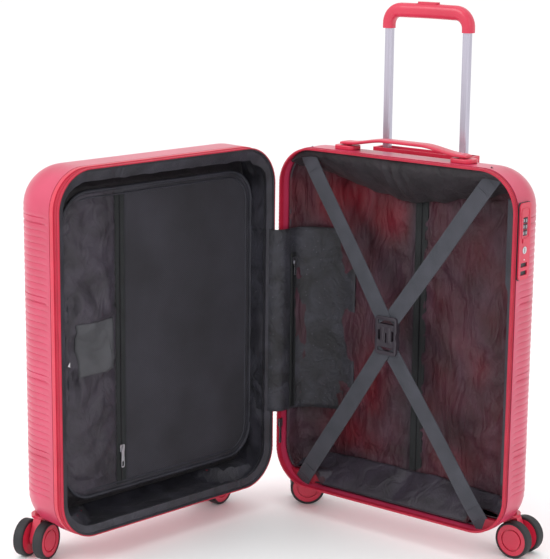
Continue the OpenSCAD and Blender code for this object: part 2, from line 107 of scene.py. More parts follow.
class Look:
    """A material under construction: one Principled shader and the textures that feed it."""

    def __init__(self, name, **sockets):
        self.material = bpy.data.materials.new(name)
        self.material.use_nodes = True
        self.tree = self.material.node_tree
        self.shader = self.tree.nodes["Principled BSDF"]
        self.coords = self.tree.nodes.new("ShaderNodeTexCoord").outputs["Object"]
        self.normal = None
        for key, value in sockets.items():
            self.shader.inputs[key.replace("_", " ").title().replace("Ior", "IOR")].default_value = value

    def node(self, kind, links=(), **settings):
        n = self.tree.nodes.new(kind)
        for key, value in settings.items():
            setattr(n, key, value)
        for socket, source in dict(links).items():
            if isinstance(source, bpy.types.NodeSocket):
                self.tree.links.new(source, n.inputs[socket])
            else:
                n.inputs[socket].default_value = source
        return n

    def stretched(self, stretch):
        """Coordinates scaled along each axis."""
        return self.node("ShaderNodeMapping", {"Vector": self.coords, "Scale": stretch}).outputs["Vector"]

    def noise(self, size, detail=3, stretch=None, distortion=0):
        """Noise whose blotches are about size millimetres across."""
        where = self.stretched(stretch) if stretch else self.coords
        return self.node("ShaderNodeTexNoise", {"Vector": where, "Scale": 1000 / size, "Detail": detail,
                                                "Distortion": distortion}).outputs["Fac"]

    def math(self, operation, a, b=0.0):
        return self.node("ShaderNodeMath", {0: a, 1: b}, operation=operation).outputs[0]

    def threads(self, pitch, direction):
        """Sine ridges pitch millimetres apart along a direction of the row frame."""
        along = self.node("ShaderNodeVectorMath", {0: self.coords, 1: direction}, operation="DOT_PRODUCT")
        turns = self.math("MULTIPLY", along.outputs["Value"], 2 * math.pi * 1000 / pitch)
        return self.math("SINE", turns)

    def weave(self, pitch):
        """Plain weave on any upright surface: ridges up and across, multiplied."""
        return self.math("MULTIPLY", self.threads(pitch, (0, 0, 1)), self.threads(pitch, (0.8, 0.8, 0)))

    def colour(self, first, second, factor, low=0.35, high=0.65):
        """Base colour that goes from first to second as factor goes from low to high."""
        ramp = self.node("ShaderNodeValToRGB", {"Fac": factor})
        ramp.color_ramp.elements[0].position = low
        ramp.color_ramp.elements[1].position = high
        ramp.color_ramp.elements[0].color = first
        ramp.color_ramp.elements[1].color = second
        self.base(ramp.outputs["Color"])
        return ramp.outputs["Color"]

    def base(self, socket):
        self.tree.links.new(socket, self.shader.inputs["Base Color"])

    def mixed(self, under, over, factor):
        """Colour that goes from one to the other with factor."""
        mix = self.node("ShaderNodeMix", data_type="RGBA")
        for index, source in ((0, factor), (6, under), (7, over)):
            if isinstance(source, bpy.types.NodeSocket):
                self.tree.links.new(source, mix.inputs[index])
            else:
                mix.inputs[index].default_value = source
        self.base(mix.outputs[2])
        return mix.outputs[2]

    def roughness(self, factor, low, high):
        spread = self.node("ShaderNodeMapRange", {"Value": factor, "To Min": low, "To Max": high})
        self.tree.links.new(spread.outputs["Result"], self.shader.inputs["Roughness"])

    def relief(self, height, depth):
        """Adds relief depth millimetres deep."""
        links = {"Height": height, "Distance": depth * MM, "Strength": 1.0}
        if self.normal is not None:
            links["Normal"] = self.normal
        self.normal = self.node("ShaderNodeBump", links).outputs["Normal"]
        self.tree.links.new(self.normal, self.shader.inputs["Normal"])

    def painted(self, attribute):
        return self.node("ShaderNodeAttribute", attribute_name=attribute).outputs["Fac"]


def moulded(name, colour, shade, rough, grain=0.05, **sockets):
    """Moulded plastic: slow drift of tone, fine spark-eroded grain, faint scuffs."""
    look = Look(name, **sockets)
    drift = look.noise(60, 4)
    look.colour(colour, shade, drift, 0.3, 0.75)
    look.roughness(look.noise(4, 5), rough - 0.06, rough + 0.08)
    look.relief(look.noise(0.9, 3), grain)
    look.relief(look.noise(25, 2), grain * 3)
    return look.material


def woven(name, colour, shade, pitch, rough, depth=0.12, crease=0.0, **sockets):
    """Woven cloth: thread relief, cloudy tone, and soft creases where asked for."""
    look = Look(name, **sockets)
    threads = look.weave(pitch)
    look.colour(colour, shade, look.noise(35, 5, distortion=0.4), 0.3, 0.7)
    look.roughness(look.noise(12, 4), rough - 0.08, rough + 0.1)
    if crease:
        look.relief(look.noise(28, 5, (1, 1, 0.55), 1.2), crease)
    look.relief(threads, depth)
    return look.material


def metal(name, colour, rough, streak, **sockets):
    """Drawn or cast metal with fine streaks along z."""
    look = Look(name, metallic=1.0, **sockets)
    streaks = look.noise(1.2, 4, (1, 1, streak))
    look.colour(colour, [c * 0.82 for c in colour[:3]] + [1], streaks, 0.3, 0.75)
    look.roughness(streaks, rough - 0.08, rough + 0.12)
    look.relief(streaks, 0.01)
    return look.material


def lining_cloth(name):
    """Thin satin lining: grey, with a painted glow of the red shell shining through where it lies close."""
    look = Look(name, sheen_weight=0.05, sheen_roughness=0.4, specular_ior_level=0.4)
    cloudy = look.noise(45, 5, (1, 1, 0.6), 1.0)
    grey = look.node("ShaderNodeValToRGB", {"Fac": cloudy})
    grey.color_ramp.elements[0].position = 0.32
    grey.color_ramp.elements[1].position = 0.68
    grey.color_ramp.elements[0].color = srgb(26, 20, 26)
    grey.color_ramp.elements[1].color = srgb(60, 46, 58)
    # painted glow: the red shell shining through the sheer cloth, painted over the grey where the stored mask says
    look.mixed(grey.outputs["Color"], srgb(120, 4, 26), look.painted("painted_glow"))
    look.roughness(look.noise(16, 4), 0.34, 0.5)
    look.relief(look.noise(38, 3, (1.3, 1.3, 0.45), 2.2), 5.0)
    look.relief(look.noise(11, 4, (1.2, 1.2, 0.7), 1.6), 0.9)
    look.relief(look.weave(0.9), 0.08)
    return look.material


def mesh_cloth(name):
    """Knitted net: dark cloth with a fine grid of openings, painted darker for the shade seen through them."""
    look = Look(name, roughness=0.75, sheen_weight=0.05)
    net = look.weave(2.8)
    tone = look.colour(srgb(34, 32, 40), srgb(52, 50, 60), look.noise(90, 3), 0.3, 0.7)
    # painted shade: the openings get a near-black colour for the dark space behind the net
    look.mixed(tone, srgb(14, 14, 18), look.math("GREATER_THAN", net, 0.45))
    look.relief(net, 0.3)
    look.relief(look.noise(110, 2), 2.0)
    return look.material


def webbing_cloth(name):
    """Seat belt webbing: slanting twill ribs."""
    look = Look(name, sheen_weight=0.15, specular_ior_level=0.35)
    twill = look.threads(1.6, (0.6, 0, 0.8))
    look.colour(srgb(54, 56, 64), srgb(66, 67, 76), look.noise(20, 4), 0.3, 0.7)
    look.roughness(look.noise(5, 3), 0.55, 0.72)
    look.relief(twill, 0.15)
    look.relief(look.threads(1.6, (-0.6, 0, 0.8)), 0.12)
    return look.material


def speckled_cloth(name):
    """Flap cloth: dark satin with tiny pale flecks."""
    look = Look(name, sheen_weight=0.06, specular_ior_level=0.5)
    cloudy = look.noise(40, 5, distortion=1.0)
    grey = look.node("ShaderNodeValToRGB", {"Fac": cloudy})
    grey.color_ramp.elements[0].position = 0.34
    grey.color_ramp.elements[1].position = 0.68
    grey.color_ramp.elements[0].color = srgb(20, 20, 26)
    grey.color_ramp.elements[1].color = srgb(50, 50, 60)
    flecks = look.node("ShaderNodeTexVoronoi", {"Vector": look.coords, "Scale": 130.0})
    near = look.math("LESS_THAN", flecks.outputs["Distance"], 0.12)
    look.mixed(grey.outputs["Color"], srgb(70, 70, 80), near)
    look.roughness(look.noise(14, 4), 0.36, 0.52)
    look.relief(look.noise(20, 4, distortion=2.0), 2.6)
    look.relief(look.weave(0.9), 0.08)
    return look.material


RED = srgb(196, 58, 92)
RED_SHADE = srgb(180, 44, 76)
M = {
    "shell": moulded("shell_satin", RED, RED_SHADE, 0.36, 0.03, coat_weight=0.35, coat_roughness=0.3),
    "inner": moulded("shell_inside", srgb(186, 18, 46), srgb(160, 12, 38), 0.42, 0.05),
    "well": moulded("well_plastic", srgb(170, 26, 52), srgb(146, 18, 44), 0.5, 0.08),
    "red": moulded("red_plastic", srgb(206, 44, 74), srgb(190, 36, 64), 0.36, 0.04, coat_weight=0.2),
    "zip_red": woven("zip_red", srgb(186, 26, 58), srgb(168, 18, 48), 1.1, 0.45, 0.1),
    "band": woven("band_red", srgb(208, 40, 70), srgb(194, 32, 60), 0.7, 0.5, 0.05, sheen_weight=0.2),
    "teeth": moulded("teeth_red", srgb(200, 40, 70), srgb(176, 26, 54), 0.4, 0.02),
    "lining": lining_cloth("lining_satin"),
    "satin": woven("satin", srgb(32, 27, 36), srgb(60, 54, 66), 0.9, 0.36, 0.08, 3.5, sheen_weight=0.05),
    "border": woven("border_satin", srgb(30, 29, 36), srgb(56, 55, 65), 0.9, 0.38, 0.08, 2.6, sheen_weight=0.05),
    "gusset": woven("gusset_cloth", srgb(24, 20, 25), srgb(46, 40, 46), 0.9, 0.42, 0.1, 3.0, sheen_weight=0.05),
    "net": mesh_cloth("net_cloth"),
    "flap": speckled_cloth("flap_satin"),
    "webbing": webbing_cloth("webbing"),
    "tape": woven("zip_tape", srgb(20, 23, 25), srgb(32, 35, 38), 0.8, 0.6, 0.15),
    "piping": woven("piping_cloth", srgb(36, 36, 44), srgb(52, 52, 62), 0.7, 0.45, 0.08),
    "patch": woven("patch_cloth", srgb(66, 66, 70), srgb(80, 80, 85), 1.2, 0.6, 0.12),
    "coil": moulded("coil_black", srgb(20, 20, 24), srgb(34, 34, 38), 0.4, 0.02),
    "buckle": moulded("buckle_plastic", srgb(44, 38, 46), srgb(60, 54, 62), 0.42, 0.06),
    "grey": moulded("grey_plastic", srgb(96, 96, 104), srgb(80, 80, 88), 0.45, 0.06),
    "black": moulded("black_plastic", srgb(34, 34, 38), srgb(48, 48, 52), 0.45, 0.06),
    "dial": moulded("dial_plastic", srgb(40, 38, 44), srgb(60, 56, 64), 0.4, 0.05),
    "mark": moulded("dial_marks", srgb(222, 220, 224), srgb(200, 198, 204), 0.5, 0.01),
    "tyre": moulded("tyre_rubber", srgb(34, 34, 38), srgb(24, 24, 28), 0.62, 0.1),
    "tube": metal("tube_aluminium", srgb(196, 192, 206), 0.3, 0.02),
    "steel": metal("steel", srgb(206, 206, 210), 0.24, 1.0),
    "slider": metal("slider_metal", srgb(176, 176, 182), 0.28, 1.0),
}

# ------------------------------------------------------------------ mesh tools


class Shape:
    """Vertices and faces of one piece, gathered from simple forms."""

    def __init__(self):
        self.v, self.f = [], []

    def add(self, verts, faces):
        base = len(self.v)
        self.v += [tuple(p) for p in verts]
        self.f += [[i + base for i in face] for face in faces]
        return self

    def loft(self, rings, closed=False, round_=True, caps=True):
        """Skin over rings of equally many points."""
        n, m = len(rings[0]), len(rings)
        faces = []
        for i in range(m if closed else m - 1):
            j = (i + 1) % m
            for k in range(n if round_ else n - 1):
                q = (k + 1) % n
                faces.append([i * n + k, i * n + q, j * n + q, j * n + k])
        if caps and round_ and not closed:
            faces += [list(range(n))[::-1], [(m - 1) * n + k for k in range(n)]]
        return self.add([p for ring in rings for p in ring], faces)

    def box(self, lo, hi):
        (a, b, c), (d, e, g) = lo, hi
        ring = [(a, b), (d, b), (d, e), (a, e)]
        return self.loft([[(x, y, z) for x, y in ring] for z in (c, g)])


def build(name, shape, material, body, place=CASE, smooth=35, replaces=(), clean=False):
    """Makes the piece's object, in the row frame, riding on its body (or on none yet)."""
    mesh = bpy.data.meshes.new(name)
    mesh.from_pydata([place @ Vector(p) for p in shape.v], [], shape.f)
    bm = bmesh.new()
    bm.from_mesh(mesh)
    if clean:
        bmesh.ops.remove_doubles(bm, verts=bm.verts, dist=1e-5)
    bmesh.ops.recalc_face_normals(bm, faces=bm.faces)
    bm.to_mesh(mesh)
    bm.free()
    obj = bpy.data.objects.new(name, mesh)
    bpy.context.collection.objects.link(obj)
    mesh.materials.append(material)
    mesh.shade_smooth()
    mesh.set_sharp_from_angle(angle=math.radians(smooth))
    if body:
        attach(obj, body)
    if replaces:
        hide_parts(*replaces)
    return obj


def apply_modifiers(obj):
    """Turns the modifiers' result into the object's own mesh."""
    graph = bpy.context.evaluated_depsgraph_get()
    mesh = bpy.data.meshes.new_from_object(obj.evaluated_get(graph), depsgraph=graph)
    obj.modifiers.clear()
    obj.data = mesh


def cut(obj, cutters, smooth=35):
    """Cuts closed shapes, given as (Shape, place), out of a closed piece."""
    made = []
    for shape, place in cutters:
        tool = build("cutter", shape, M["red"], None, place)
        step = obj.modifiers.new("cut", "BOOLEAN")
        step.object, step.operation, step.solver = tool, "DIFFERENCE", "MANIFOLD"
        made.append(tool)
    apply_modifiers(obj)
    for tool in made:
        bpy.data.objects.remove(tool)
    obj.data.shade_smooth()
    obj.data.set_sharp_from_angle(angle=math.radians(smooth))
    return obj


def bevel(obj, width, segments=3, angle=40):
    """Rounds the sharp edges of a piece."""
    step = obj.modifiers.new("bevel", "BEVEL")
    step.width, step.segments = width * MM, segments
    step.limit_method, step.angle_limit = "ANGLE", math.radians(angle)
    step.harden_normals = False
    apply_modifiers(obj)
    obj.data.shade_smooth()
    obj.data.set_sharp_from_angle(angle=math.radians(50))
    return obj


def oval(w, h, n=20, power=4):
    """Closed ring between an ellipse (power 2) and a rectangle (high powers)."""
    ring = []
    for k in range(n):
        a = 2 * math.pi * (k + 0.5) / n
        c, s = math.cos(a), math.sin(a)
        ring.append((math.copysign(abs(c) ** (2 / power), c) * w / 2,
                     math.copysign(abs(s) ** (2 / power), s) * h / 2))
    return ring


def rounded(points, radii, steps=5):
    """A polygon with its corners rounded to the given radii."""
    ring = []
    for i, p in enumerate(points):
        a, b = Vector(points[i - 1]), Vector(points[(i + 1) % len(points)])
        p, r = Vector(p), radii[i] if hasattr(radii, "__len__") else radii
        u, w = (a - p).normalized(), (b - p).normalized()
        half = u.angle(w) / 2
        if r <= 0:
            ring.append(tuple(p))
            continue
        reach = r / math.tan(half)
        start, end = p + u * reach, p + w * reach
        centre = p + (u + w).normalized() * (r / math.sin(half))
        for k in range(steps + 1):
            q = start.lerp(end, k / steps) - centre
            ring.append(tuple(centre + q.normalized() * r))
    return ring


def prism(outline, low, high, to_point):
    """A closed outline carried between two levels, placed by to_point(a, b, level)."""
    return Shape().loft([[to_point(a, b, level) for a, b in outline] for level in (low, high)])


def upright(a, b, level):
    """Outline in the x-z plane, carried along the depth."""
    return (a, level, b)


def outline(corner=10, side=1):
    """Samples round the case outline: corner centre and outward direction."""
    (cx0, cx1), (cz0, cz1) = CENTRES_X, CENTRES_Z
    corners = [(cx1, cz0, -90), (cx1, cz1, 0), (cx0, cz1, 90), (cx0, cz0, 180)]
    found = []
    for i, (cx, cz, first) in enumerate(corners):
        for k in range(corner + 1):
            a = math.radians(first + 90 * k / corner)
            found.append((cx, cz, math.cos(a), math.sin(a)))
        nx, nz, _ = corners[(i + 1) % 4]
        for k in range(1, side):
            t = k / side
            found.append((cx + (nx - cx) * t, cz + (nz - cz) * t, math.cos(a), math.sin(a)))
    return found


def rim_ring(section, corner=12, side=1):
    """A closed section of (radius, depth) points, carried round the case outline."""
    return Shape().loft([[(cx + nx * r, y, cz + nz * r) for r, y in section]
                         for cx, cz, nx, nz in outline(corner, side)], closed=True)


def soft_section(r0, r1, y0, y1, power=6, n=16):
    """Rounded box section between two radii and two depths."""
    return [((r0 + r1) / 2 + a, (y0 + y1) / 2 + b) for a, b in oval(r1 - r0, y1 - y0, n, power)]


def along_rim(r, pitch):
    """Places pitch apart round the outline at radius r: x, z, outward x, outward z."""
    (cx0, cx1), (cz0, cz1) = CENTRES_X, CENTRES_Z
    wide, tall, arc = cx1 - cx0, cz1 - cz0, math.pi / 2 * r
    runs = [("line", cx1, cz0, 0, 1, tall), ("arc", cx1, cz1, 0, 0, arc),
            ("line", cx1, cz1, 90, -1, wide), ("arc", cx0, cz1, 90, 0, arc),
            ("line", cx0, cz1, 180, -1, tall), ("arc", cx0, cz0, 180, 0, arc),
            ("line", cx0, cz0, 270, 1, wide), ("arc", cx1, cz0, 270, 0, arc)]
    total = sum(run[5] for run in runs)
    step = total / round(total / pitch)
    at, found = 0.0, []
    for kind, cx, cz, first, sign, length in runs:
        while at < length - 1e-6:
            a = math.radians(first + (90 * at / length if kind == "arc" else 0))
            nx, nz = math.cos(a), math.sin(a)
            run = at * sign if kind == "line" else 0
            upright_run = abs(nx) > 0.5 or kind == "arc"
            x = cx + (0 if upright_run else run) + nx * r
            z = cz + (run if upright_run and kind == "line" else 0) + nz * r
            found.append((x, z, nx, nz))
            at += step
        at -= length
    return found


def rim_teeth(r, y0, y1, pitch, width, height, slant=0.0):
    """Slanting zip teeth round the outline, between two depths."""
    shape = Shape()
    for x, z, nx, nz in along_rim(r, pitch):
        tx, tz = -nz, nx
        rings = []
        for y, shift in ((y0, -slant / 2), (y1, slant / 2)):
            ring = []
            for a, b in ((-0.5, 0), (-0.3, 1), (0.3, 1), (0.5, 0)):
                t, n = a * width + shift, b * height
                ring.append((x + tx * t + nx * n, y, z + tz * t + nz * n))
            rings.append(ring)
        shape.loft(rings)
    return shape


def lathe(profile, segments, matrix):
    """Turns a profile of (radius, height) about the matrix's z axis."""
    rings = []
    for k in range(segments):
        a = 2 * math.pi * k / segments
        rings.append([matrix @ Vector((r * math.cos(a), r * math.sin(a), h)) for r, h in profile])
    return Shape().loft(rings, closed=True, round_=profile[0][0] > 0 and profile[-1][0] > 0, caps=False)


def sheet_grid(fn, columns, rows):
    """An open sheet from fn(s, t) with s and t from 0 to 1."""
    return Shape().loft([[fn(c / columns, r / rows) for c in range(columns + 1)]
                         for r in range(rows + 1)], round_=False)


def thicken(obj, t):
    """Gives a sheet its cloth's thickness."""
    step = obj.modifiers.new("thickness", "SOLIDIFY")
    step.thickness, step.offset = t * MM, 0
    apply_modifiers(obj)
    return obj


def smooth_step(a, b, x):
    t = min(1.0, max(0.0, (x - a) / (b - a)))
    return t * t * (3 - 2 * t)


def ripple(x, y, z, size, seed=0.0):
    """Smooth noise from -1 to 1 with blotches about size millimetres across."""
    return noise.noise(Vector((x / size + seed, y / size, z / size)))


def dish(r, start, depth, zs, across, down, corner):
    """Skin of a dish: cores and directions of its points, and quads. A point is core + r * direction."""
    (cx0, cx1), (cz0, cz1), cy = CENTRES_X, CENTRES_Z, depth - r
    bend = [r * math.tan(math.radians(45 * k / corner)) for k in range(1, corner + 1)]
    xs = [cx0 - b for b in bend[::-1]] + list(np.linspace(cx0, cx1, across + 1)) + [cx1 + b for b in bend]
    zs = [cz0 - b for b in bend[::-1]] + list(zs) + [cz1 + b for b in bend]
    ys = list(np.linspace(start, cy, down + 1)) + [cy + b for b in bend]
    walls = [[[(x, ys[-1], z) for x in xs] for z in zs]]
    walls += [[[(x, y, z) for y in ys] for z in zs] for x in (xs[0], xs[-1])]
    walls += [[[(x, y, z) for x in xs] for y in ys] for z in (zs[0], zs[-1])]
    index, raw, quads = {}, [], []

    def at(p):
        key = tuple(round(c, 3) for c in p)
        if key not in index:
            index[key] = len(raw)
            raw.append(p)
        return index[key]

    for wall in walls:
        ids = [[at(p) for p in row] for row in wall]
        for a, b in zip(ids, ids[1:]):
            quads += [[a[k], a[k + 1], b[k + 1], b[k]] for k in range(len(a) - 1)]
    raw = np.array(raw)
    core = np.stack([raw[:, 0].clip(cx0, cx1), np.minimum(raw[:, 1], cy), raw[:, 2].clip(cz0, cz1)], 1)
    ray = raw - core
    return core, ray / np.linalg.norm(ray, axis=1)[:, None], quads


def open_edges(quads):
    """Edges used by one face, in that face's direction."""
    seen = {}
    for q in quads:
        for a, b in zip(q, q[1:] + q[:1]):
            if (b, a) in seen:
                del seen[(b, a)]
            elif (a, b) in seen:
                del seen[(a, b)]
            else:
                seen[(a, b)] = True
    return list(seen)

# ------------------------------------------------------------------ shells

GROOVE_PITCH = 107
FIRST_GROOVE = 155
RIBS_PER_GROOVE = 12
RIB = GROOVE_PITCH / RIBS_PER_GROOVE
RIB_DEEP = 1.1
GROOVE_DEEP = 1.9
SMOOTH_STRIP = 10


def rib_rows():
    """Heights of the shell's rows: a few on every rib, closest in its valley."""
    low, high = CENTRES_Z
    first = math.floor((low - FIRST_GROOVE) / RIB)
    last = math.ceil((high - FIRST_GROOVE) / RIB)
    rows = {low, high}
    for k in range(first, last):
        rows |= {FIRST_GROOVE + (k + f) * RIB for f in (0, 0.08, 0.22, 0.5, 0.78, 0.92)}
    return sorted(z for z in rows if low <= z <= high)


def rib_profile(z):
    """How far the skin lies inside the smooth form at height z: pillows with narrow valleys."""
    cell = (z - FIRST_GROOVE) / RIB
    k = math.floor(cell + 1e-6)
    f = cell - k
    to_groove = min(k % RIBS_PER_GROOVE + f, RIBS_PER_GROOVE - (k % RIBS_PER_GROOVE + f))
    groove = GROOVE_DEEP * (1 - smooth_step(0, 0.2, to_groove))
    if k % RIBS_PER_GROOVE == 0:
        return groove
    pillow = 1 - max(0.0, math.sin(math.pi * f)) ** 0.45
    return max(groove, RIB_DEEP * pillow)


def shell_shape(depth, start):
    """Ribbed outer skin and smooth inner skin of a shell, joined at the rim."""
    core, ray, quads = dish(R, start, depth, rib_rows(), 12, 6, 9)
    outer, inner = core + ray * R, core + ray * (R - SHELL_T)
    for i, p in enumerate(outer):
        sideways = 1 - abs(ray[i][2]) ** 2
        strip = smooth_step(start + SMOOTH_STRIP - 2, start + SMOOTH_STRIP + 1, p[1])
        corner = smooth_step(CENTRES_Z[0] - 30, CENTRES_Z[0], p[2])
        corner *= 1 - smooth_step(CENTRES_Z[1], CENTRES_Z[1] + 30, p[2])
        outer[i] = p - ray[i] * rib_profile(p[2]) * strip * corner * sideways
    n = len(outer)
    shape = Shape().add(list(outer) + list(inner), quads)
    shape.f += [[i + n for i in q[::-1]] for q in quads]
    shape.f += [[b, a, a + n, b + n] for a, b in open_edges(quads)]
    return shape


def disc(x, y, radius, low, high, n=48):
    """Upright cylinder."""
    ring = [(x + radius * math.cos(2 * math.pi * k / n), y + radius * math.sin(2 * math.pi * k / n))
            for k in range(n)]
    return Shape().loft([[(a, b, z) for a, b in ring] for z in (low, high)])


CASTER_XS = (X0 + 33, X1 - 33)
WELL_R, WELL_TOP, BOSS_R, BOSS_TOP = 53, 60.5, 12, 76
LOCK_Y, LOCK_W, LOCK_Z = 22.5, 27, (404, 508)
LOCK_PROUD = 2.5


def caster_rooms(y, place):
    return [(disc(x, y, r, -1, top), place) for x in CASTER_XS
            for r, top in ((WELL_R, WELL_TOP), (BOSS_R, BOSS_TOP))]


BEZEL = (Vector((XM - 82, 69, Z1 - 37)), Vector((XM + 82, BACK_DEPTH + 5, Z1 + 5)))
HANDLE_HALF, HANDLE_Y, MOUNT_H = 98, 30, 6

back_cuts = caster_rooms(BACK_DEPTH - 27, CASE)
back_cuts.append((Shape().box(*BEZEL), CASE))
back_cuts.append((Shape().box((X1 - 16, LOCK_Y - 11.5, LOCK_Z[0] + 2),
                              (X1 + 10, LOCK_Y + 11.5, LOCK_Z[1] - 2)), CASE))
for side in (-1, 1):
    x = XM + side * HANDLE_HALF
    back_cuts.append((Shape().box((x - 9, HANDLE_Y - 11, Z1 - 14), (x + 9, HANDLE_Y + 11, Z1 + 10)), CASE))

shell = build("back_shell_ribbed", shell_shape(BACK_DEPTH, BACK_START), M["shell"], "back_case",
              replaces=["back_shell"])
cut(shell, back_cuts)
shell = build("lid_shell_ribbed", shell_shape(LID_DEPTH, LID_START), M["shell"], "lid", LID,
              replaces=["lid_shell"])
cut(shell, caster_rooms(LID_DEPTH - 27, LID))

# ------------------------------------------------------------------ rim: zips and bands

ZIP_R = R - 0.8
EXPANSION_R = R - 1.6
BAND_FROM, BAND_TO = 11.4, 18.8


def zip_half(name, place, body, node, inner_r):
    """Half of the main zip: woven tape, slanting teeth at the rim plane and a corded edge."""
    tape = rim_ring(soft_section(inner_r, ZIP_R - 0.7, RIM, RIM + ZIP_H, 10))
    tape.add(*unpack(rim_ring(soft_section(ZIP_R - 1.6, ZIP_R, RIM + ZIP_H - 2.2, RIM + ZIP_H - 0.2, 2))))
    tape.add(*unpack(rim_ring(soft_section(ZIP_R - 1.4, ZIP_R - 0.2, RIM + 4.4, RIM + 5.2, 2, 8))))
    build(name + "_tape", tape, M["zip_red"], body, place, replaces=[node])
    teeth = rim_teeth(ZIP_R - 0.9, RIM, RIM + 3.6, 2.1, 1.5, 0.9, 0.9)
    build(name + "_teeth", teeth, M["teeth"], body, place)


def unpack(shape):
    return shape.v, shape.f


zip_half("back_zip", CASE, "back_case", "back_zip", TAPE_R - 1.2)
zip_half("lid_zip", LID, "lid", "lid_zips", TAPE_R)

expansion = rim_ring(soft_section(TAPE_R, EXPANSION_R, RIM + ZIP_H, BAND_FROM, 10))
build("expansion_tape", expansion, M["zip_red"], "lid", LID)
coil = rim_teeth(EXPANSION_R - 0.2, RIM + ZIP_H + 0.5, BAND_FROM - 0.5, 1.5, 1.1, 0.6, 0.5)
build("expansion_coil", coil, M["teeth"], "lid", LID)

band = rim_ring(soft_section(TAPE_R, R, BAND_FROM, BAND_TO, 7, 20))
build("lid_band_cloth", band, M["band"], "lid", LID, replaces=["lid_band"])

for place, body, start, name in ((CASE, "back_case", BACK_START, "back"), (LID, "lid", LID_START, "lid")):
    seam = rim_ring(soft_section(TAPE_R - 0.4, R - 1.2, start - 0.6, start + 0.1, 4, 8))
    build(name + "_shell_seam", seam, M["tape"], body, place)

gusset = rim_ring(soft_section(TAPE_R - 1.2, TAPE_R, RIM, LID_START + 8, 8))
build("gusset_cloth", gusset, M["gusset"], "lid", LID, replaces=["expansion_gusset"])

# ------------------------------------------------------------------ cloth


def settle(obj, pinned, grow, cap, place, frames=16, gravity=0.2):
    """Lets a sheet that is a little too large for its frame buckle into folds, all of them towards the middle."""
    rest = np.array([v.co for v in obj.data.vertices])
    pins = obj.vertex_groups.new(name="pins")
    pins.add([int(i) for i in pinned], 1.0, "REPLACE")
    cloth = obj.modifiers.new("cloth", "CLOTH")
    cloth.settings.quality = 5
    cloth.settings.mass = 0.12
    cloth.settings.bending_stiffness = 0.4
    cloth.settings.tension_stiffness = cloth.settings.compression_stiffness = 12
    cloth.settings.vertex_group_mass = "pins"
    cloth.settings.shrink_min = -grow
    cloth.settings.effector_weights.gravity = gravity
    cloth.collision_settings.use_collision = False
    for step in range(1, frames + 1):
        bpy.context.scene.frame_set(step)
    graph = bpy.context.evaluated_depsgraph_get()
    moved = np.array([v.co for v in obj.evaluated_get(graph).data.vertices])
    obj.modifiers.clear()
    bpy.context.scene.frame_set(1)
    shift = moved - rest
    length = np.linalg.norm(shift, axis=1)[:, None]
    shift *= np.minimum(1, cap * MM / np.maximum(length, 1e-9))
    middle = np.array(place @ Vector((XM, 5, ZM)))
    for i, vertex in enumerate(obj.data.vertices):
        normal = np.array(vertex.normal)
        if np.dot(normal, middle - rest[i]) < 0:
            normal = -normal
        along = np.dot(shift[i], normal)
        shift[i] += normal * (abs(along) - along)
    obj.data.vertices.foreach_set("co", (rest + shift).ravel())
    obj.data.update()
    return obj


def paint(obj, name, fn, place):
    """Stores fn(x, y, z) of every vertex, in the half's own frame, as an attribute."""
    back = place.inverted()
    values = [fn(*(back @ v.co)) for v in obj.data.vertices]
    layer = obj.data.attributes.new(name, "FLOAT", "POINT")
    layer.data.foreach_set("value", values)


LINING_T = 0.8
BACK_LINING = (51.75, 20, 71.5)
WELL_CLEAR = 55


def over_wells(x, y, z, caster_y):
    """Lifts a point of cloth that would pass through a wheel well."""
    near = min(math.hypot(x - cx, y - caster_y) for cx in CASTER_XS)
    lifted = 63.5 * (1 - smooth_step(WELL_CLEAR, WELL_CLEAR + 10, near))
    boss = 78 * (1 - smooth_step(BOSS_R + 2, BOSS_R + 12, near))
    return max(z, lifted, boss)


def painted_glow(x, y, z):
    """Painted glow: where the lining lies on the red shell, the red shining through is painted in as patches."""
    # patches of painted glow: centre x, centre z, width, height, strength; a faint painted glow everywhere else, none
    # along the middle seam
    patches = [(70, 470, 75, 42, 0.95), (150, 455, 45, 60, 0.7), (125, 200, 40, 70, 0.55),
               (95, 120, 55, 36, 0.75), (310, 250, 45, 60, 0.35), (290, 110, 70, 30, 0.5),
               (345, 400, 30, 90, 0.25)]
    found = 0.16 if x < XM else 0.24
    for px, pz, wx, wz, strength in patches:
        found = max(found, strength * math.exp(-((x - px) / wx) ** 2 - ((z - pz) / wz) ** 2))
    found *= 0.75 + 0.6 * ripple(x, y, z, 42, 3)
    seam = 1 - math.exp(-((x - XM) / 16) ** 2)
    return min(1.0, max(0.0, found * seam))


def back_lining_shape():
    r, start, depth = BACK_LINING
    core, ray, quads = dish(r, start, depth, np.linspace(*CENTRES_Z, 57), 40, 0, 7)
    points = core + ray * r
    for i, (x, y, z) in enumerate(points):
        folds = 2.6 * ripple(x, y * 2, z * 0.4, 34, 7) + 1.6 * ripple(x, y, z, 19, 2)
        away = smooth_step(start, start + 14, y) * min(1, abs(x - XM) / 26)
        points[i] = points[i] - ray[i] * max(-0.4, folds) * away
        near_lock = smooth_step(LOCK_Z[0] - 16, LOCK_Z[0] - 2, z) * (1 - smooth_step(LOCK_Z[1] + 2, LOCK_Z[1] + 14, z))
        if x > X1 - 18:
            points[i][0] = x + (X1 - 18 - x) * near_lock * (1 - smooth_step(40, 52, y))
        if z > Z1 - 46:
            points[i][1] = min(points[i][1], BEZEL[0].y - 2)
        if z > Z1 - 18:
            points[i][2] = min(points[i][2], Z1 - 15.5)
        points[i][2] = over_wells(*points[i], BACK_DEPTH - 27)
    return Shape().add(points, quads)


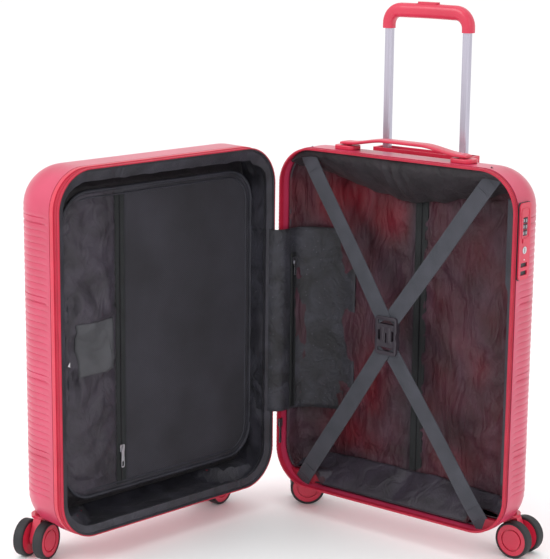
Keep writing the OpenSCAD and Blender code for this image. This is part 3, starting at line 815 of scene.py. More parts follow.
lining = build("back_lining_cloth", back_lining_shape(), M["lining"], None, clean=True)
lock_side = [v.index for v in lining.data.vertices if (CASE.inverted() @ v.co).y < BACK_LINING[1] + 3
             or abs((CASE.inverted() @ v.co).x - XM) < 9
             or (CASE.inverted() @ v.co).z < Z0 + 44 or (CASE.inverted() @ v.co).z > Z1 - 50
             or (CASE.inverted() @ v.co).x > X1 - 22]
settle(lining, lock_side, 0.045, 6, CASE)
# stores the painted glow of the red shell through the lining on every vertex
paint(lining, "painted_glow", painted_glow, CASE)
thicken(lining, LINING_T)
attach(lining, "back_case")
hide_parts("back_lining")

# ruffled falls of the lining under the top and over the wheel wells
INNER_R = TAPE_R - 1.4


def rim_height(x, top):
    """Height of the shell's inner face at x, on the top or the bottom side."""
    over = max(0, CENTRES_X[0] - x, x - CENTRES_X[1])
    reach = math.sqrt(max(0, INNER_R ** 2 - over ** 2))
    return CENTRES_Z[1] + reach if top else CENTRES_Z[0] - reach


def top_fall(s, t):
    x = X0 + 16 + s * (X1 - X0 - 32)
    low = 480 + 34 * min(1, abs(x - 196) / 170) ** 1.4 + 5 * ripple(x, 0, 0, 24, 5)
    high = rim_height(x, True)
    gather = math.exp(-((x - 196) / 20) ** 2)
    fold = ripple(x * 0.5, t * 34, t * x * 0.12, 13, 4) + 0.7 * math.sin(t * 9 + 2.5 * ripple(x, 0, 0, 55, 1))
    y = 10 + 52 * t ** 1.5 - 5.5 * fold * t * (1.15 - t) * 2 - 8 * gather * math.sin(math.pi * t)
    z = high + (low - high) * t ** 0.75 + (3.4 * fold + 6 * gather) * math.sin(math.pi * t)
    crease = abs(math.sin((x - 196) / 5.5)) * gather * math.sin(math.pi * t)
    return (x, min(y + 4.5 * crease, 64), z)


def bottom_fall(s, t):
    x = X0 + 20 + s * (X1 - X0 - 40)
    high = 84 + 4 * ripple(x, 0, 0, 45, 6) - 8 * min(1, abs(x - 200) / 200) ** 2
    low = rim_height(x, False) + 1.2
    gather = math.exp(-((x - 200) / 12) ** 2)
    fold = math.sin(x / 13 + 2 * ripple(x, 0, 0, 50, 8)) * 0.4 + ripple(x, t * 25, 0, 18, 3)
    y = 22 + 43 * t + 2.5 * fold * math.sin(math.pi * t) + 4 * gather * math.sin(math.pi * t)
    z = low + (high - low) * t ** 0.8 + 2.4 * fold * math.sin(math.pi * t) - 5 * gather * math.sin(math.pi * t)
    return (x, y, over_wells(x, y, z, BACK_DEPTH - 27))


def outer_edge(s, t):
    z = 116 + s * 396
    over_lock = smooth_step(LOCK_Z[0] - 20, LOCK_Z[0] - 4, z)
    wave = ripple(0, t, z, 20, 2)
    plain = [(4.4, 11.5), (9, 10.2), (13, 10.6), (14.6, 14), (14.6, 22)]
    lock = [(4.4, 9.8), (12, 9.6), (17.6, 10.4), (18.6, 20), (18.6, 38)]
    k = min(3, int(t * 4))
    f = t * 4 - k
    points = [[(u + (w - u) * f) for u, w in zip(form[k], form[k + 1])] for form in (plain, lock)]
    inset, y = (points[0][i] + (points[1][i] - points[0][i]) * over_lock for i in (0, 1))
    return (X1 - inset - 0.6 * wave * math.sin(math.pi * t), y, z)


for name, fn, columns, rows, look in (("top_fall", top_fall, 190, 30, "gusset"),
                                      ("bottom_fall", bottom_fall, 150, 20, "satin"),
                                      ("outer_edge", outer_edge, 80, 8, "piping")):
    piece = build(name, sheet_grid(fn, columns, rows), M[look], None)
    thicken(piece, LINING_T)
    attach(piece, "back_case")

hem = rim_ring(soft_section(50.4, 52.6, 21.5, 24, 2, 8), 12, 1)
build("lining_hem", hem, M["piping"], "back_case")

# ------------------------------------------------------------------ lid inside

DIVIDER_D = 45
DIVIDER_Z = (80, 510)
DIVIDER_U = (12, 363)
FRAME_R = 44
ZIP_U = X0 + 260
ZIP_Z = (Z0 + 66, Z0 + 458)


def lid_lining_shape():
    r, depth = 51.75, LID_DEPTH - 6.75
    core, ray, quads = dish(r, 5, depth, np.linspace(*CENTRES_Z, 50), 30, 7, 5)
    points = core + ray * r
    for i, (x, y, z) in enumerate(points):
        pucker = 2.6 * ripple(x, y * 0.7, z, 20, 1) + 1.8 * ripple(x, y, z * 1.6, 11, 4)
        away = smooth_step(5, 16, y) * (1 - smooth_step(96, 100, y))
        points[i] = points[i] - ray[i] * max(-0.6, pucker + 0.8) * away
        points[i][2] = over_wells(*points[i], LID_DEPTH - 27)
    return Shape().add(points, quads)


lining = build("lid_lining_cloth", lid_lining_shape(), M["border"], None, LID, clean=True)
back = LID.inverted()
held = [v.index for v in lining.data.vertices if (back @ v.co).y < 7 or (back @ v.co).y > 48
        or (back @ v.co).z < 70]
settle(lining, held, 0.05, 5, LID)
thicken(lining, LINING_T)
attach(lining, "lid")
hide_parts("lid_lining")


def border_shape():
    """Border of satin in the rim plane: wider and wavy along the top."""
    rings = []
    for cx, cz, nx, nz in outline(14, 26):
        top = smooth_step(0.3, 0.95, nz)
        bottom = smooth_step(0.3, 0.95, -nz)
        x, z = cx + nx * 50, cz + nz * 50
        wave = ripple(x, 0, z, 17, 3) + 0.6 * ripple(x, 0, z, 8, 5)
        width = 8.5 + 6.5 * top + 1.5 * bottom + wave * (0.4 + 2.2 * top)
        ring = []
        for k in range(9):
            t = k / 8
            fold = 1.6 * math.sin(math.pi * t) + wave * 1.3 * t * (0.3 + top)
            ring.append((cx + nx * (52.6 - width * t), 3.2 + fold * 0.6 + 3.2 * t * t * (1 + top),
                         cz + nz * (52.6 - width * t)))
        for t, back_to in ((0.9, 11), (0.7, 14)):
            ring.append((cx + nx * (52.6 - width * t), back_to, cz + nz * (52.6 - width * t)))
        rings.append(ring)
    return Shape().loft(rings, closed=True, round_=False)


border = build("lid_border", border_shape(), M["border"], None, LID)
thicken(border, LINING_T)
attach(border, "lid")
edging = rim_ring(soft_section(52.2, 54.2, 1.2, 3.4, 2, 8))
build("lid_border_piping", edging, M["piping"], "lid", LID)


def frame_path(grow, steps=9):
    """Rounded rectangle of the divider's frame, moved outward by grow: points and outward directions."""
    (u0, u1), (z0, z1) = DIVIDER_U, DIVIDER_Z
    r = FRAME_R
    found = []
    for cx, cz, first in ((u1 - r, z0 + r, -90), (u1 - r, z1 - r, 0), (u0 + r, z1 - r, 90), (u0 + r, z0 + r, 180)):
        for k in range(steps + 1):
            a = math.radians(first + 90 * k / steps)
            found.append((cx + (r + grow) * math.cos(a), cz + (r + grow) * math.sin(a),
                          math.cos(a), math.sin(a)))
        last = found[-1]
        turn = {-90: (0, 1), 0: (-1, 0), 90: (0, -1), 180: (1, 0)}[first]
        run = ((z1 - z0) if turn[0] == 0 else (u1 - u0)) - 2 * r
        for k in range(1, 24):
            found.append((last[0] + turn[0] * run * k / 24, last[1] + turn[1] * run * k / 24, last[2], last[3]))
    return found


def frame_ring(section):
    """A closed section of (outward, depth) points carried round the divider's frame."""
    rings = []
    for x, z, nx, nz in frame_path(0):
        wave = 0.5 * ripple(x, 0, z, 24, 2)
        rings.append([(x + nx * (a + wave), d, z + nz * (a + wave)) for a, d in section])
    return Shape().loft(rings, closed=True, round_=True)


def cord_section(a, d, r, n=10):
    return [(a + r * math.cos(2 * math.pi * k / n), d + r * math.sin(2 * math.pi * k / n)) for k in range(n)]


piping = frame_ring(cord_section(0, DIVIDER_D - 2.2, 2.4))
piping.add(*unpack(frame_ring(cord_section(-9, DIVIDER_D - 1.2, 1.3))))
build("divider_piping", piping, M["piping"], "lid", LID)
tape = frame_ring([(-10, DIVIDER_D - 0.9), (1, DIVIDER_D - 1.2), (1, DIVIDER_D - 0.2), (-10, DIVIDER_D)])
build("divider_binding", tape, M["border"], "lid", LID)


def skirt_shape():
    """Cloth that runs from the divider's frame back to the lid's walls."""
    rings = []
    for x, z, nx, nz in frame_path(0):
        reach_x = (8.5 - x) / nx if nx < -0.3 else ((X1 - 8.5 - x) / nx if nx > 0.3 else 99)
        reach_z = (Z1 - 8.5 - z) / nz if nz > 0.3 else ((z - Z0 - 24) / -nz if nz < -0.3 else 99)
        reach = min(reach_x, reach_z, 34)
        rings.append([(x + nx * reach * t, DIVIDER_D + 17 * math.sin(t * math.pi / 2)
                       + 1.5 * ripple(x, t * 10, z, 15), z + nz * reach * t) for t in np.linspace(0, 1, 6)])
    return Shape().loft(rings, closed=True, round_=False)


skirt = build("divider_skirt", skirt_shape(), M["gusset"], None, LID)
thicken(skirt, LINING_T)
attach(skirt, "lid")


def panel_sheet(u0, u1, bulge, columns, rows, seed):
    """A cloth panel of the divider between two widths, bulging towards the opening."""
    (f0, f1), (z0, z1) = DIVIDER_U, DIVIDER_Z

    def point(s, t):
        u = u0 + (u1 - u0) * s
        over = max(0, f0 + FRAME_R - u, u - f1 + FRAME_R)
        drop = FRAME_R - math.sqrt(max(0, FRAME_R ** 2 - over ** 2))
        z = z0 + 1 + drop + (z1 - z0 - 2 - 2 * drop) * t
        inside = math.sin(math.pi * s) * math.sin(math.pi * t)
        slack = 1 + 0.8 * ripple(u, 0, z * 0.7, 38, seed)
        return (u, DIVIDER_D - 0.6 - bulge * min(1, inside * 1.6) * slack, z)
    return sheet_grid(point, columns, rows)


satin = build("divider_satin", panel_sheet(ZIP_U + 8, DIVIDER_U[1] - 0.5, 4.5, 20, 80, 2), M["satin"], None, LID)
back = LID.inverted()
edges = [v.index for v in satin.data.vertices if min(abs((back @ v.co).x - ZIP_U - 8),
         abs((back @ v.co).x - DIVIDER_U[1] + 0.5)) < 3 or not 92 < (back @ v.co).z < 498]
settle(satin, edges, 0.06, 6, LID)
net = build("divider_net", panel_sheet(DIVIDER_U[0] + 0.5, ZIP_U - 8, 1.6, 30, 50, 6), M["net"], None, LID)


satin_tree = BVHTree.FromObject(satin, bpy.context.evaluated_depsgraph_get())
TO_PANEL = (LID.to_3x3() @ Vector((0, 1, 0))).normalized()


def on_satin(u, z, out):
    """The point of the satin panel at (u, z), raised by out."""
    hit = satin_tree.ray_cast(LID @ Vector((u, 0, z)), TO_PANEL)[0]
    d = (LID.inverted() @ hit).y if hit else DIVIDER_D - 6
    return (u, d - out, z)


label = build("blank_patch", sheet_grid(lambda s, t: on_satin(ZIP_U + 15 + 68 * s, 258 + 72 * t, 1.1), 20, 26),
              M["patch"], None, LID)
thicken(label, 1.0)
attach(label, "lid")
seams = Shape()
for k in range(58):
    for u in (ZIP_U + 17, ZIP_U + 81):
        z = 260 + k * 1.18
        if k % 2:
            d = on_satin(u, z, 1.6)[1]
            seams.box((u - 0.4, d - 0.4, z), (u + 0.4, d + 0.3, z + 1.1))
build("patch_stitches", seams, M["piping"], "lid", LID)
tag_d = on_satin(DIVIDER_U[1] - 8, 278, 1.4)[1]
tag = prism([(DIVIDER_U[1] - 8, 273), (DIVIDER_U[1] - 4, 275), (DIVIDER_U[1] - 8, 280)],
            tag_d - 0.5, tag_d, upright)
build("care_tag", tag, M["mark"], "lid", LID)
for piece in (satin, net):
    thicken(piece, LINING_T)
    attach(piece, "lid")
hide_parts("divider_panel")


def zip_run(name, x, y, z0, z1, place, body, node, toward, tape_w=8, gap=0.4):
    """A zip up a flat face: two tapes with stitched folds and a coil between them."""
    tapes = Shape()
    for side in (-1, 1):
        a, b = sorted((x + side * gap, x + side * (gap + tape_w)))
        ring = [(a, y), (b, y), (b, y + toward * 0.6), (b - side * 0.6 * side, y + toward * 1.2),
                (a + 0.6, y + toward * 1.3), (a, y + toward * 0.7)]
        rings = []
        for k in range(41):
            z = z0 + (z1 - z0) * k / 40
            sway = 0.5 * ripple(0, 0, z, 60, x)
            rings.append([(p + sway, q, z) for p, q in ring])
        tapes.loft(rings)
        seam_x = x + side * (gap + tape_w - 1)
        tapes.loft([[(seam_x + 0.5 * math.cos(q), y + toward * 1.3 + 0.4 * math.sin(q), z)
                     for q in np.linspace(0, 2 * math.pi, 7)[:-1]] for z in np.linspace(z0, z1, 30)])
    made = build(name + "_tape", tapes, M["tape"], body, place, replaces=[node] if node else ())
    coil = Shape()
    count = int((z1 - z0) / 1.5)
    for k in range(count):
        z = z0 + (z1 - z0) * (k + 0.5) / count
        side = 1 if k % 2 else -1
        for a in (0, side * 0.9):
            coil.box((x + a - 0.7, y + min(0, toward * 1.6), z - 0.4), (x + a + 0.7, y + max(0, toward * 1.6), z + 0.4))
    build(name + "_coil", coil, M["coil"], body, place)


zip_run("divider_zip", ZIP_U, DIVIDER_D - 0.3, ZIP_Z[0] - 20, ZIP_Z[1] + 4, LID, "lid", "divider_zip", -1, 8.5)

# ------------------------------------------------------------------ hinge flap

FLAP_Z = (150, 425)


def flap_path():
    """Points of the flap in the row frame: from the back lining, round the hinge, into the lid."""
    back_side = [(94, 68.6), (70, 66.5), (45, 58), (24, 46), (13.5, 34), (11.4, 22), (11, 6), (8.4, 0), (5.2, -4)]
    lid_side = [(10.8, 6), (11.2, 20), (11.4, 34), (11.8, 43)]
    row = [CASE @ Vector((x, y, 0)) for x, y in back_side]
    row.append(CASE @ Vector((1.2, -7.2, 0)))
    row += [LID @ Vector((u, d, 0)) for u, d in lid_side]
    return row


def smooth_run(points, count):
    """Evenly spaced points of a smooth run through the given ones."""
    fine = []
    for k in range(len(points) - 1):
        a, b, c, d = (points[max(0, min(len(points) - 1, k + j))] for j in (-1, 0, 1, 2))
        for t in np.linspace(0, 1, 12, endpoint=False):
            fine.append(0.5 * ((2 * b) + (c - a) * t + (2 * a - 5 * b + 4 * c - d) * t * t
                               + (3 * b - a - 3 * c + d) * t ** 3))
    fine.append(points[-1])
    gone = np.cumsum([0] + [(q - p).length for p, q in zip(fine, fine[1:])])
    return [fine[int(np.searchsorted(gone, g).clip(0, len(fine) - 1))]
            for g in np.linspace(0, gone[-1], count)]


flap_run = smooth_run(flap_path(), 46)


def flap_shape():
    """The flap over the hinge line: its run repeated up its height, with loose ripples."""
    rows = 40
    verts, quads = [], []
    for i in range(rows):
        z = FLAP_Z[0] + (FLAP_Z[1] - FLAP_Z[0]) * i / (rows - 1)
        for k, p in enumerate(flap_run):
            before, after = flap_run[max(0, k - 1)], flap_run[min(len(flap_run) - 1, k + 1)]
            along = (after - before).normalized()
            out = Vector((along.y, -along.x, 0))
            s = k / (len(flap_run) - 1)
            loose = math.sin(math.pi * min(1, s * 1.6))
            wave = (0.9 * ripple(0, s * 60, z, 46, 2) + 0.5 * ripple(s * 90, 0, z, 20, 4)) * loose
            q = p + out * wave * MM
            verts.append((q.x, q.y, z * MM))
    n = len(flap_run)
    for i in range(rows - 1):
        for k in range(n - 1):
            quads.append((i * n + k, i * n + k + 1, (i + 1) * n + k + 1, (i + 1) * n + k))
    return Shape().add(verts, quads)


flap = build("hinge_flap", flap_shape(), M["flap"], None, Matrix())
thicken(flap, 1.0)
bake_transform(flap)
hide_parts("hinge_flap_back", "hinge_flap_lid")


zip_run("access_zip", XM + 6, 70.6, Z0 + 38, Z1 - 62, CASE, "back_case", "lining_zips", -1, 10.5)
WALL = CASE @ Matrix(((0, 1, 0, 0), (1, 0, 0, 0), (0, 0, 1, 0), (0, 0, 0, 1)))
zip_run("pocket_zip", 24, 12.6, FLAP_Z[0] + 4, 388, WALL, "back_case", None, 1, 5.5)

# ------------------------------------------------------------------ straps and buckle

STRAP_Y, STRAP_W, STRAP_T = 9, 25, 1.6
BUCKLE_X = XM - 8


def strap_points(sx, sz):
    shift = 2 if sx > 0 else 0
    a = Vector((XM + sx * 160, STRAP_Y + shift, ZM + sz * 249))
    b = Vector((BUCKLE_X + sx * 5, STRAP_Y + shift, ZM + sz * 21.5))
    return a, b


def strap_shape(sx, sz):
    a, b = strap_points(sx, sz)
    along = (b - a).normalized()
    side = Vector((along.z, 0, -along.x))
    rings = []
    for k in range(41):
        t = k / 40
        p = a.lerp(b, t)
        p.y += 6 * (1 - t) ** 9 + 3 * math.sin(math.pi * t) + 0.5 * ripple(0, 0, t * 240, 50, sx + sz)
        twist = 0.9 * math.sin(math.pi * t * 2 + sx)
        rings.append([tuple(p + side * u + Vector((0, v + twist * u / STRAP_W, 0)))
                      for u, v in oval(STRAP_W, STRAP_T, 14, 7)])
    return Shape().loft(rings)


straps = Shape()
for sx in (-1, 1):
    for sz in (-1, 1):
        straps.add(*unpack(strap_shape(sx, sz)))
build("webbing_straps", straps, M["webbing"], "back_case", replaces=["cross_straps"])

stitches = Shape()
for sx in (-1, 1):
    for sz in (-1, 1):
        a, b = strap_points(sx, sz)
        along = (b - a).normalized()
        side = Vector((along.z, 0, -along.x))
        for away in (14, 32):
            for k in range(-4, 5):
                p = a + along * away + side * k * 2.4 + Vector((0, 3 * math.sin(math.pi * away / 253) - 1.0, 0))
                stitches.box((p.x - 0.8, p.y - 0.5, p.z - 0.35), (p.x + 0.8, p.y, p.z + 0.35))
build("strap_stitches", stitches, M["piping"], "back_case")

bw, bh = 18.5, 27.5
barrel = rounded([(-bw + 1, -bh), (bw - 1, -bh), (bw, -8), (bw - 2, 0), (bw, 8), (bw - 1, bh), (-bw + 1, bh),
                  (-bw, 8), (-bw + 2, 0), (-bw, -8)], [4, 4, 8, 10, 8, 4, 4, 8, 10, 8])
buckle = build("buckle_body", prism([(BUCKLE_X + a, ZM + b) for a, b in barrel], 6.2, 14.8, upright), M["buckle"], None)
cut(buckle, [(prism([(BUCKLE_X + a, ZM + b) for a, b in shape], 2, 20, upright), CASE) for shape in (
    rounded([(-14, 16.5), (14, 16.5), (14, 22.5), (-14, 22.5)], 1.2),
    rounded([(-14, -22.5), (14, -22.5), (14, -16.5), (-14, -16.5)], 1.2),
    rounded([(-13.5, -6), (-9.5, -8), (-9.5, 9), (-13.5, 7)], 1),
    rounded([(9.5, -8), (13.5, -6), (13.5, 7), (9.5, 9)], 1),
    rounded([(-1.2, -10), (1.2, -10), (1.2, 4), (-1.2, 4)], 0.9))])
bevel(buckle, 0.9)
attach(buckle, "back_case")
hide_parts("buckle_socket", "buckle_plug")
prongs = Shape()
for s in (-1, 1):
    prongs.add(*unpack(prism([(BUCKLE_X + s * a, ZM + b) for a, b in rounded(
        [(2, 13.5), (8.5, 13.5), (8.5, -6), (5.5, -10), (3.4, -4)], 1)][::s], 5.3, 7.4, upright)))
bevel(build("buckle_prongs", prongs, M["buckle"], "back_case"), 0.5)

# ------------------------------------------------------------------ lock

SEGMENTS = {0: "abcdef", 1: "bc", 2: "abged", 3: "abgcd", 4: "fgbc", 5: "afgcd", 6: "afgedc", 7: "abc",
            8: "abcdefg", 9: "abcfgd"}
BARS = {"a": (0, 1, 1), "b": (1, 0.5, 0), "c": (1, -0.5, 0), "d": (0, -1, 1), "e": (-1, -0.5, 0),
        "f": (-1, 0.5, 0), "g": (0, 0, 1)}
for i in (1, 2, 3):
    axis = Vector(joints["dial_%d_turn" % i]["pos_m"])
    lo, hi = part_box("lock_dial_%d" % i)
    r = (hi.y - lo.y) / 2
    digits = Shape()
    for n in range(10):
        turn = Matrix.Rotation(math.radians(36 * n), 3, "Z")
        for bar in SEGMENTS[n]:
            across, up, flat = BARS[bar]
            cy, cz = across * 0.9 * MM, up * 1.5 * MM
            hy, hz = (0.9 * MM, 0.22 * MM) if flat else (0.22 * MM, 0.75 * MM)
            ring = []
            for dx in (r - 0.1 * MM, r + 0.12 * MM):
                ring.append([tuple(axis + turn @ Vector((dx, cy + a * hy, 0)) + Vector((0, 0, cz + b * hz)))
                             for a, b in ((-1, -1), (1, -1), (1, 1), (-1, 1))])
            digits.loft(ring)
    build("dial_digits_%d" % i, digits, M["mark"], "lock_dial_%d" % i, Matrix())

face = X1 + LOCK_PROUD
y0, y1 = LOCK_Y - LOCK_W / 2, LOCK_Y + LOCK_W / 2
edge = rounded([(y0 - 0.6, LOCK_Z[0] - 0.6), (y1 + 0.6, LOCK_Z[0] - 0.6), (y1 + 0.6, LOCK_Z[1] + 0.6),
                (y0 - 0.6, LOCK_Z[1] + 0.6)], 4)
gasket = prism(edge, X1 - 1.2, X1 + 0.5, lambda a, b, level: (level, a, b))
build("lock_gasket", gasket, M["black"], "back_case")
inner_edge = rounded([(LOCK_Y - 9, 461), (LOCK_Y + 9, 461), (LOCK_Y + 9, 500), (LOCK_Y - 9, 500)], 3)
outer_edge_ring = rounded([(LOCK_Y - 10, 460), (LOCK_Y + 10, 460), (LOCK_Y + 10, 501), (LOCK_Y - 10, 501)], 4)
frame_shape = Shape().loft([[(face + d, a, b) for a, b in ring] for ring, d in
                            ((outer_edge_ring, 0), (outer_edge_ring, 0.5), (inner_edge, 0.5), (inner_edge, 0))],
                           closed=True)
build("dial_frame", frame_shape, M["red"], "back_case")
dot = lathe([(0.01, 0.5), (0.9, 0.4), (1.1, 0)], 20,
            Matrix.Translation((face, LOCK_Y, 431)) @ Matrix.Rotation(math.pi / 2, 4, "Y"))
build("lock_dot", dot, M["mark"], "back_case")

# ------------------------------------------------------------------ carry handle


def handle_section(x):
    """Underside height and thickness of the handle's bow at x from its middle."""
    rise = 8 * (1 - smooth_step(30, 94, abs(x)))
    return Z1 + MOUNT_H + 1 + rise, 5 - 1.2 * smooth_step(98, 106, abs(x))


rings = []
for x in np.linspace(-105.8, 105.8, 61):
    low, thick = handle_section(x)
    width = 22 - 5 * smooth_step(99, 106, abs(x))
    rings.append([(XM + x, HANDLE_Y + a, low + thick / 2 + b) for a, b in oval(width, thick, 20, 3.2)])
bow = Shape().loft(rings)
for s in (-1, 1):
    x = XM + s * HANDLE_HALF
    bow.loft([[(x + a, HANDLE_Y + b, z) for a, b in oval(7.5, 13.5, 16, 6)]
              for z in (Z1 - 6, Z1 + MOUNT_H + 3)])
build("carry_handle_bow", bow, M["red"], "carry_handle", replaces=["carry_handle"])

# ------------------------------------------------------------------ trolley grip

GRIP_TOP, TUBE_Y, GRIP_ARM = 757, 80, 66.2


def grip_path():
    """Middle of the grip's bar, from one tube's foot over to the other's: (x, z, half width, half depth)."""
    bend, bar = 20, GRIP_TOP - 11
    run = [(-GRIP_ARM, GRIP_TOP - 37 + k * 1.9, 8.2, 8.6) for k in range(4)]
    run += [(-GRIP_ARM + bend - bend * math.cos(a), bar - bend + bend * math.sin(a), 8.2 + 1.3 * a, 8.6)
            for a in np.linspace(0, math.pi / 2, 12)]
    run += [(x, bar + 0.4 * math.cos(math.pi * x / 94), 10.2, 8.9) for x in np.linspace(-44, 0, 12)]
    return run + [(-x, z, w, d) for x, z, w, d in run[::-1][1:]]


run = grip_path()
rings = []
for k, (x, z, w, d) in enumerate(run):
    (xa, za), (xb, zb) = run[max(0, k - 1)][:2], run[min(len(run) - 1, k + 1)][:2]
    along = Vector((xb - xa, 0, zb - za)).normalized()
    side = Vector((-along.z, 0, along.x))
    rings.append([tuple(Vector((XM + x, TUBE_Y, z)) + side * a + Vector((0, b, 0)))
                  for a, b in oval(2 * w, 2 * d, 28, 2.8)])
grip = build("trolley_grip_bar", Shape().loft(rings), M["red"], None)
cut(grip, [(Shape().box((XM - 17.4, TUBE_Y - 5.4, GRIP_TOP - 10), (XM + 17.4, TUBE_Y + 5.4, GRIP_TOP + 5)), CASE)])
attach(grip, "trolley_inner")
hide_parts("trolley_grip")

# ------------------------------------------------------------------ sliders


def slider(name, body, place, face, toward, centre, pull_w, pull_l, look="slider"):
    """A zip slider on a face at depth face, with a bridge and a hanging pull."""
    x, z = centre
    plan = rounded([(x - 3.6, z - 5.5), (x + 3.6, z - 5.5), (x + 4.6, z + 5.5), (x - 4.6, z + 5.5)], 1.8)
    made = Shape()
    for a, b in ((0.3, 1.1), (2.2, 3.1)):
        made.add(*unpack(prism(plan, face + toward * a, face + toward * b, upright)))
    made.box((x - 0.8, face + min(0, toward * 3), z - 3), (x + 0.8, face + max(0, toward * 3), z + 3))
    bridge = [(x - 0.9 + a, face + toward * (3.1 + 1.3 * math.sin(math.pi * t)), z - 4 + 8 * t)
              for t in np.linspace(0, 1, 9) for a in (0, 1.8)]
    made.v += bridge
    base = len(made.v) - len(bridge)
    made.f += [[base + 2 * k, base + 2 * k + 1, base + 2 * k + 3, base + 2 * k + 2] for k in range(8)]
    obj = build(name, made, M[look], body, place, replaces=[body])
    ring = rounded([(x - pull_w / 2, z - 2 - pull_l), (x + pull_w / 2, z - 2 - pull_l),
                    (x + pull_w / 2 - 0.8, z + 0.5), (x - pull_w / 2 + 0.8, z + 0.5)], pull_w / 2.6)
    pull = build(name + "_pull", prism(ring, face + toward * 3.2, face + toward * 4.2, upright), M[look], None,
                 place)
    hole = rounded([(x - pull_w / 4, z - pull_l), (x + pull_w / 4, z - pull_l), (x + pull_w / 4, z - pull_l * 0.72),
                    (x - pull_w / 4, z - pull_l * 0.72)], pull_w / 6)
    cut(pull, [(prism(hole, face - 9, face + 9, upright), place)])
    bevel(pull, 0.3, 2)
    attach(pull, body)
    return obj


def centre_of(node, place):
    lo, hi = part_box(node)
    p = place.inverted() @ ((lo + hi) / 2)
    return p


p = centre_of("pocket_slider", CASE)
slider("pocket_slider_body", "pocket_slider", WALL, 13, 1, (24, p.z + 8), 5, 20)
p = centre_of("divider_slider", LID)
slider("divider_slider_body", "divider_slider", LID, DIVIDER_D - 0.8, -1, (ZIP_U, p.z + 8), 6, 26)

# ------------------------------------------------------------------ carried CAD nodes


def finish_node(node, look, width=0.0, angle=32):
    """Gives a carried CAD node its material, and rounds its edges."""
    obj = frame["nodes"][node]
    obj.data.materials.clear()
    obj.data.materials.append(M[look])
    if width:
        weld = obj.modifiers.new("weld", "WELD")
        weld.merge_threshold = 1e-5
        step = obj.modifiers.new("edges", "BEVEL")
        step.width, step.segments = width * MM, 3
        step.limit_method, step.angle_limit = "ANGLE", math.radians(angle)
        obj.modifiers.new("normals", "WEIGHTED_NORMAL").keep_sharp = False


for node, look, width in (
        ("lock_housing", "red", 1.2), ("trolley_bezel", "red", 0.8), ("outer_tubes", "tube", 0.4),
        ("middle_tubes", "tube", 0.4), ("inner_tubes", "tube", 0.4), ("tube_bracket", "black", 0.8),
        ("handle_mounts", "red", 1.5), ("back_caster_mounts", "well", 0.0), ("lid_caster_mounts", "well", 0.0),
        ("main_slider", "slider", 0.4), ("lock_button", "red", 0.5), ("key_cylinder", "steel", 0.4),
        ("release_button", "red", 1.0), ("lock_dial_1", "dial", 0.5),
        ("lock_dial_2", "dial", 0.5), ("lock_dial_3", "dial", 0.5)):
    finish_node(node, look, width)
for i in range(1, 5):
    finish_node("fork_%d" % i, "red", 1.2)
    finish_node("axle_%d" % i, "steel")
    for side in "ab":
        finish_node("hub_%d%s" % (i, side), "red", 0.8)
        finish_node("tyre_%d%s" % (i, side), "tyre", 0.5)

# ------------------------------------------------------------------ sheets

# Cut sizes are estimates in mm. Lengths follow the case's own straight and curved runs, with some
# fullness for the gathers. The strips' widths, the patch and the flap's run are chosen values.
STRAIGHT_X, STRAIGHT_Z = CENTRES_X[1] - CENTRES_X[0], CENTRES_Z[1] - CENTRES_Z[0]
QUARTER = math.pi / 2 * BACK_LINING[0]
FULL = 1.06
LID_WALL = LID_DEPTH - 6.75 - BACK_LINING[0] - 5
FRAME_W, FRAME_H = DIVIDER_U[1] - DIVIDER_U[0], DIVIDER_Z[1] - DIVIDER_Z[0]
FRAME_ROUND = 2 * (FRAME_W + FRAME_H - 4 * FRAME_R) + 2 * math.pi * FRAME_R
HEM_R = 50
RIM_ROUND = 2 * (STRAIGHT_X + STRAIGHT_Z) + 2 * math.pi * HEM_R


def dish_cut(wall):
    """Width, length and area of a cloth that lines a dish: a rectangle with its corners cut to quarter rounds."""
    run = QUARTER + wall
    w, l = STRAIGHT_X + 2 * run, STRAIGHT_Z + 2 * run
    return w, l, w * l - (4 - math.pi) * run * run


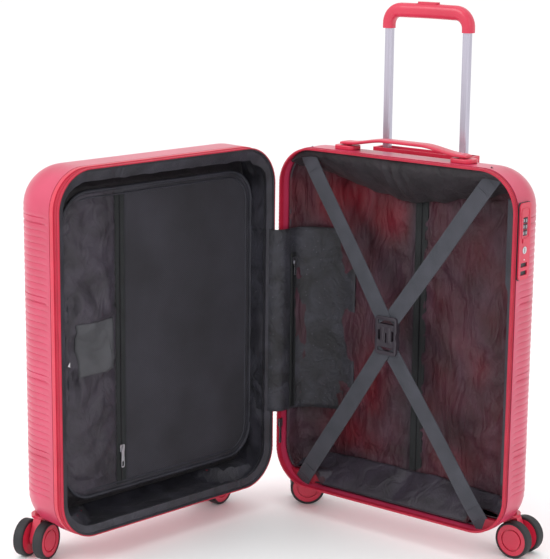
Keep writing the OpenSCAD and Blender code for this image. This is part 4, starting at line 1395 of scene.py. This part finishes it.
for name, held, rests_on, size in (
        ("back_lining_cloth", "stretched", "back_shell_ribbed", dish_cut(0)),
        ("lid_lining_cloth", "stretched", "lid_shell_ribbed", dish_cut(LID_WALL)),
        ("top_fall", "gathered", "back_shell_ribbed", (82, (X1 - X0 - 32) * FULL)),
        ("bottom_fall", "gathered", "back_shell_ribbed", (57, (X1 - X0 - 40) * FULL)),
        ("outer_edge", "gathered", "back_shell_ribbed", (24, 396)),
        ("lid_border", "gathered", "lid_lining_cloth", (20, RIM_ROUND)),
        ("divider_skirt", "gathered", "lid_lining_cloth", (36, FRAME_ROUND)),
        ("divider_satin", "stretched", "divider_binding", (DIVIDER_U[1] - ZIP_U - 8, FRAME_H)),
        ("divider_net", "stretched", "divider_binding", (ZIP_U - 8 - DIVIDER_U[0], FRAME_H)),
        ("blank_patch", "laid", "divider_satin", (68, 72)),
        ("hinge_flap", "hung", "back_lining_cloth", (FLAP_Z[1] - FLAP_Z[0], 186))):
    width, length = size[0] * MM, size[1] * MM

# ------------------------------------------------------------------ stage

floor = bpy.data.objects.new("floor", bpy.data.meshes.new("floor"))
floor.data.from_pydata([(-6, -6, 0), (6, -6, 0), (6, 6, 0), (-6, 6, 0)], [], [(0, 1, 2, 3)])
bpy.context.collection.objects.link(floor)
look = Look("floor_pale")
look.colour(srgb(254, 254, 254), srgb(252, 252, 253), look.noise(400, 2))
look.roughness(look.noise(60, 2), 0.55, 0.65)
floor.data.materials.append(look.material)

world = bpy.data.worlds.new("studio")
world.use_nodes = True
world.node_tree.nodes["Background"].inputs["Color"].default_value = (1, 1, 1, 1)
world.node_tree.nodes["Background"].inputs["Strength"].default_value = 1.05
bpy.context.scene.world = world


def area_light(name, at, toward, size, power):
    lamp = bpy.data.lights.new(name, "AREA")
    lamp.size, lamp.energy = size, power
    obj = bpy.data.objects.new(name, lamp)
    bpy.context.collection.objects.link(obj)
    obj.location = at
    obj.rotation_euler = (Vector(toward) - Vector(at)).to_track_quat("-Z", "Y").to_euler()


area_light("key", (-1.2, -2.4, 2.2), (0, 0, 0.35), 1.6, 34)
area_light("fill", (2.8, -0.8, 1.6), (0, 0, 0.3), 1.8, 10)
area_light("top", (0, 0, 3.0), (0, 0, 0), 2.0, 12)

camera = bpy.data.objects.new("camera", bpy.data.cameras.new("camera"))
bpy.context.collection.objects.link(camera)
camera.data.lens, camera.data.sensor_width = 114.3, 36
look_down, turn = math.radians(12.21), math.radians(0.59)
ahead = Vector((-0.6276, 0.7785, 0)).normalized() * math.cos(look_down)
ahead.z = -math.sin(look_down)
right = ahead.cross(Vector((0, 0, 1))).normalized()
above = right.cross(ahead)
right, above = (right * math.cos(turn) + above * math.sin(turn),
                above * math.cos(turn) - right * math.sin(turn))
camera.matrix_world = Matrix.Translation((1.598 + HINGE.x, -1.985 + HINGE.y, 0.901)) @ Matrix(
    (right, above, -ahead)).transposed().to_4x4()
bpy.context.scene.camera = camera
bpy.context.scene.view_settings.view_transform = "Standard"
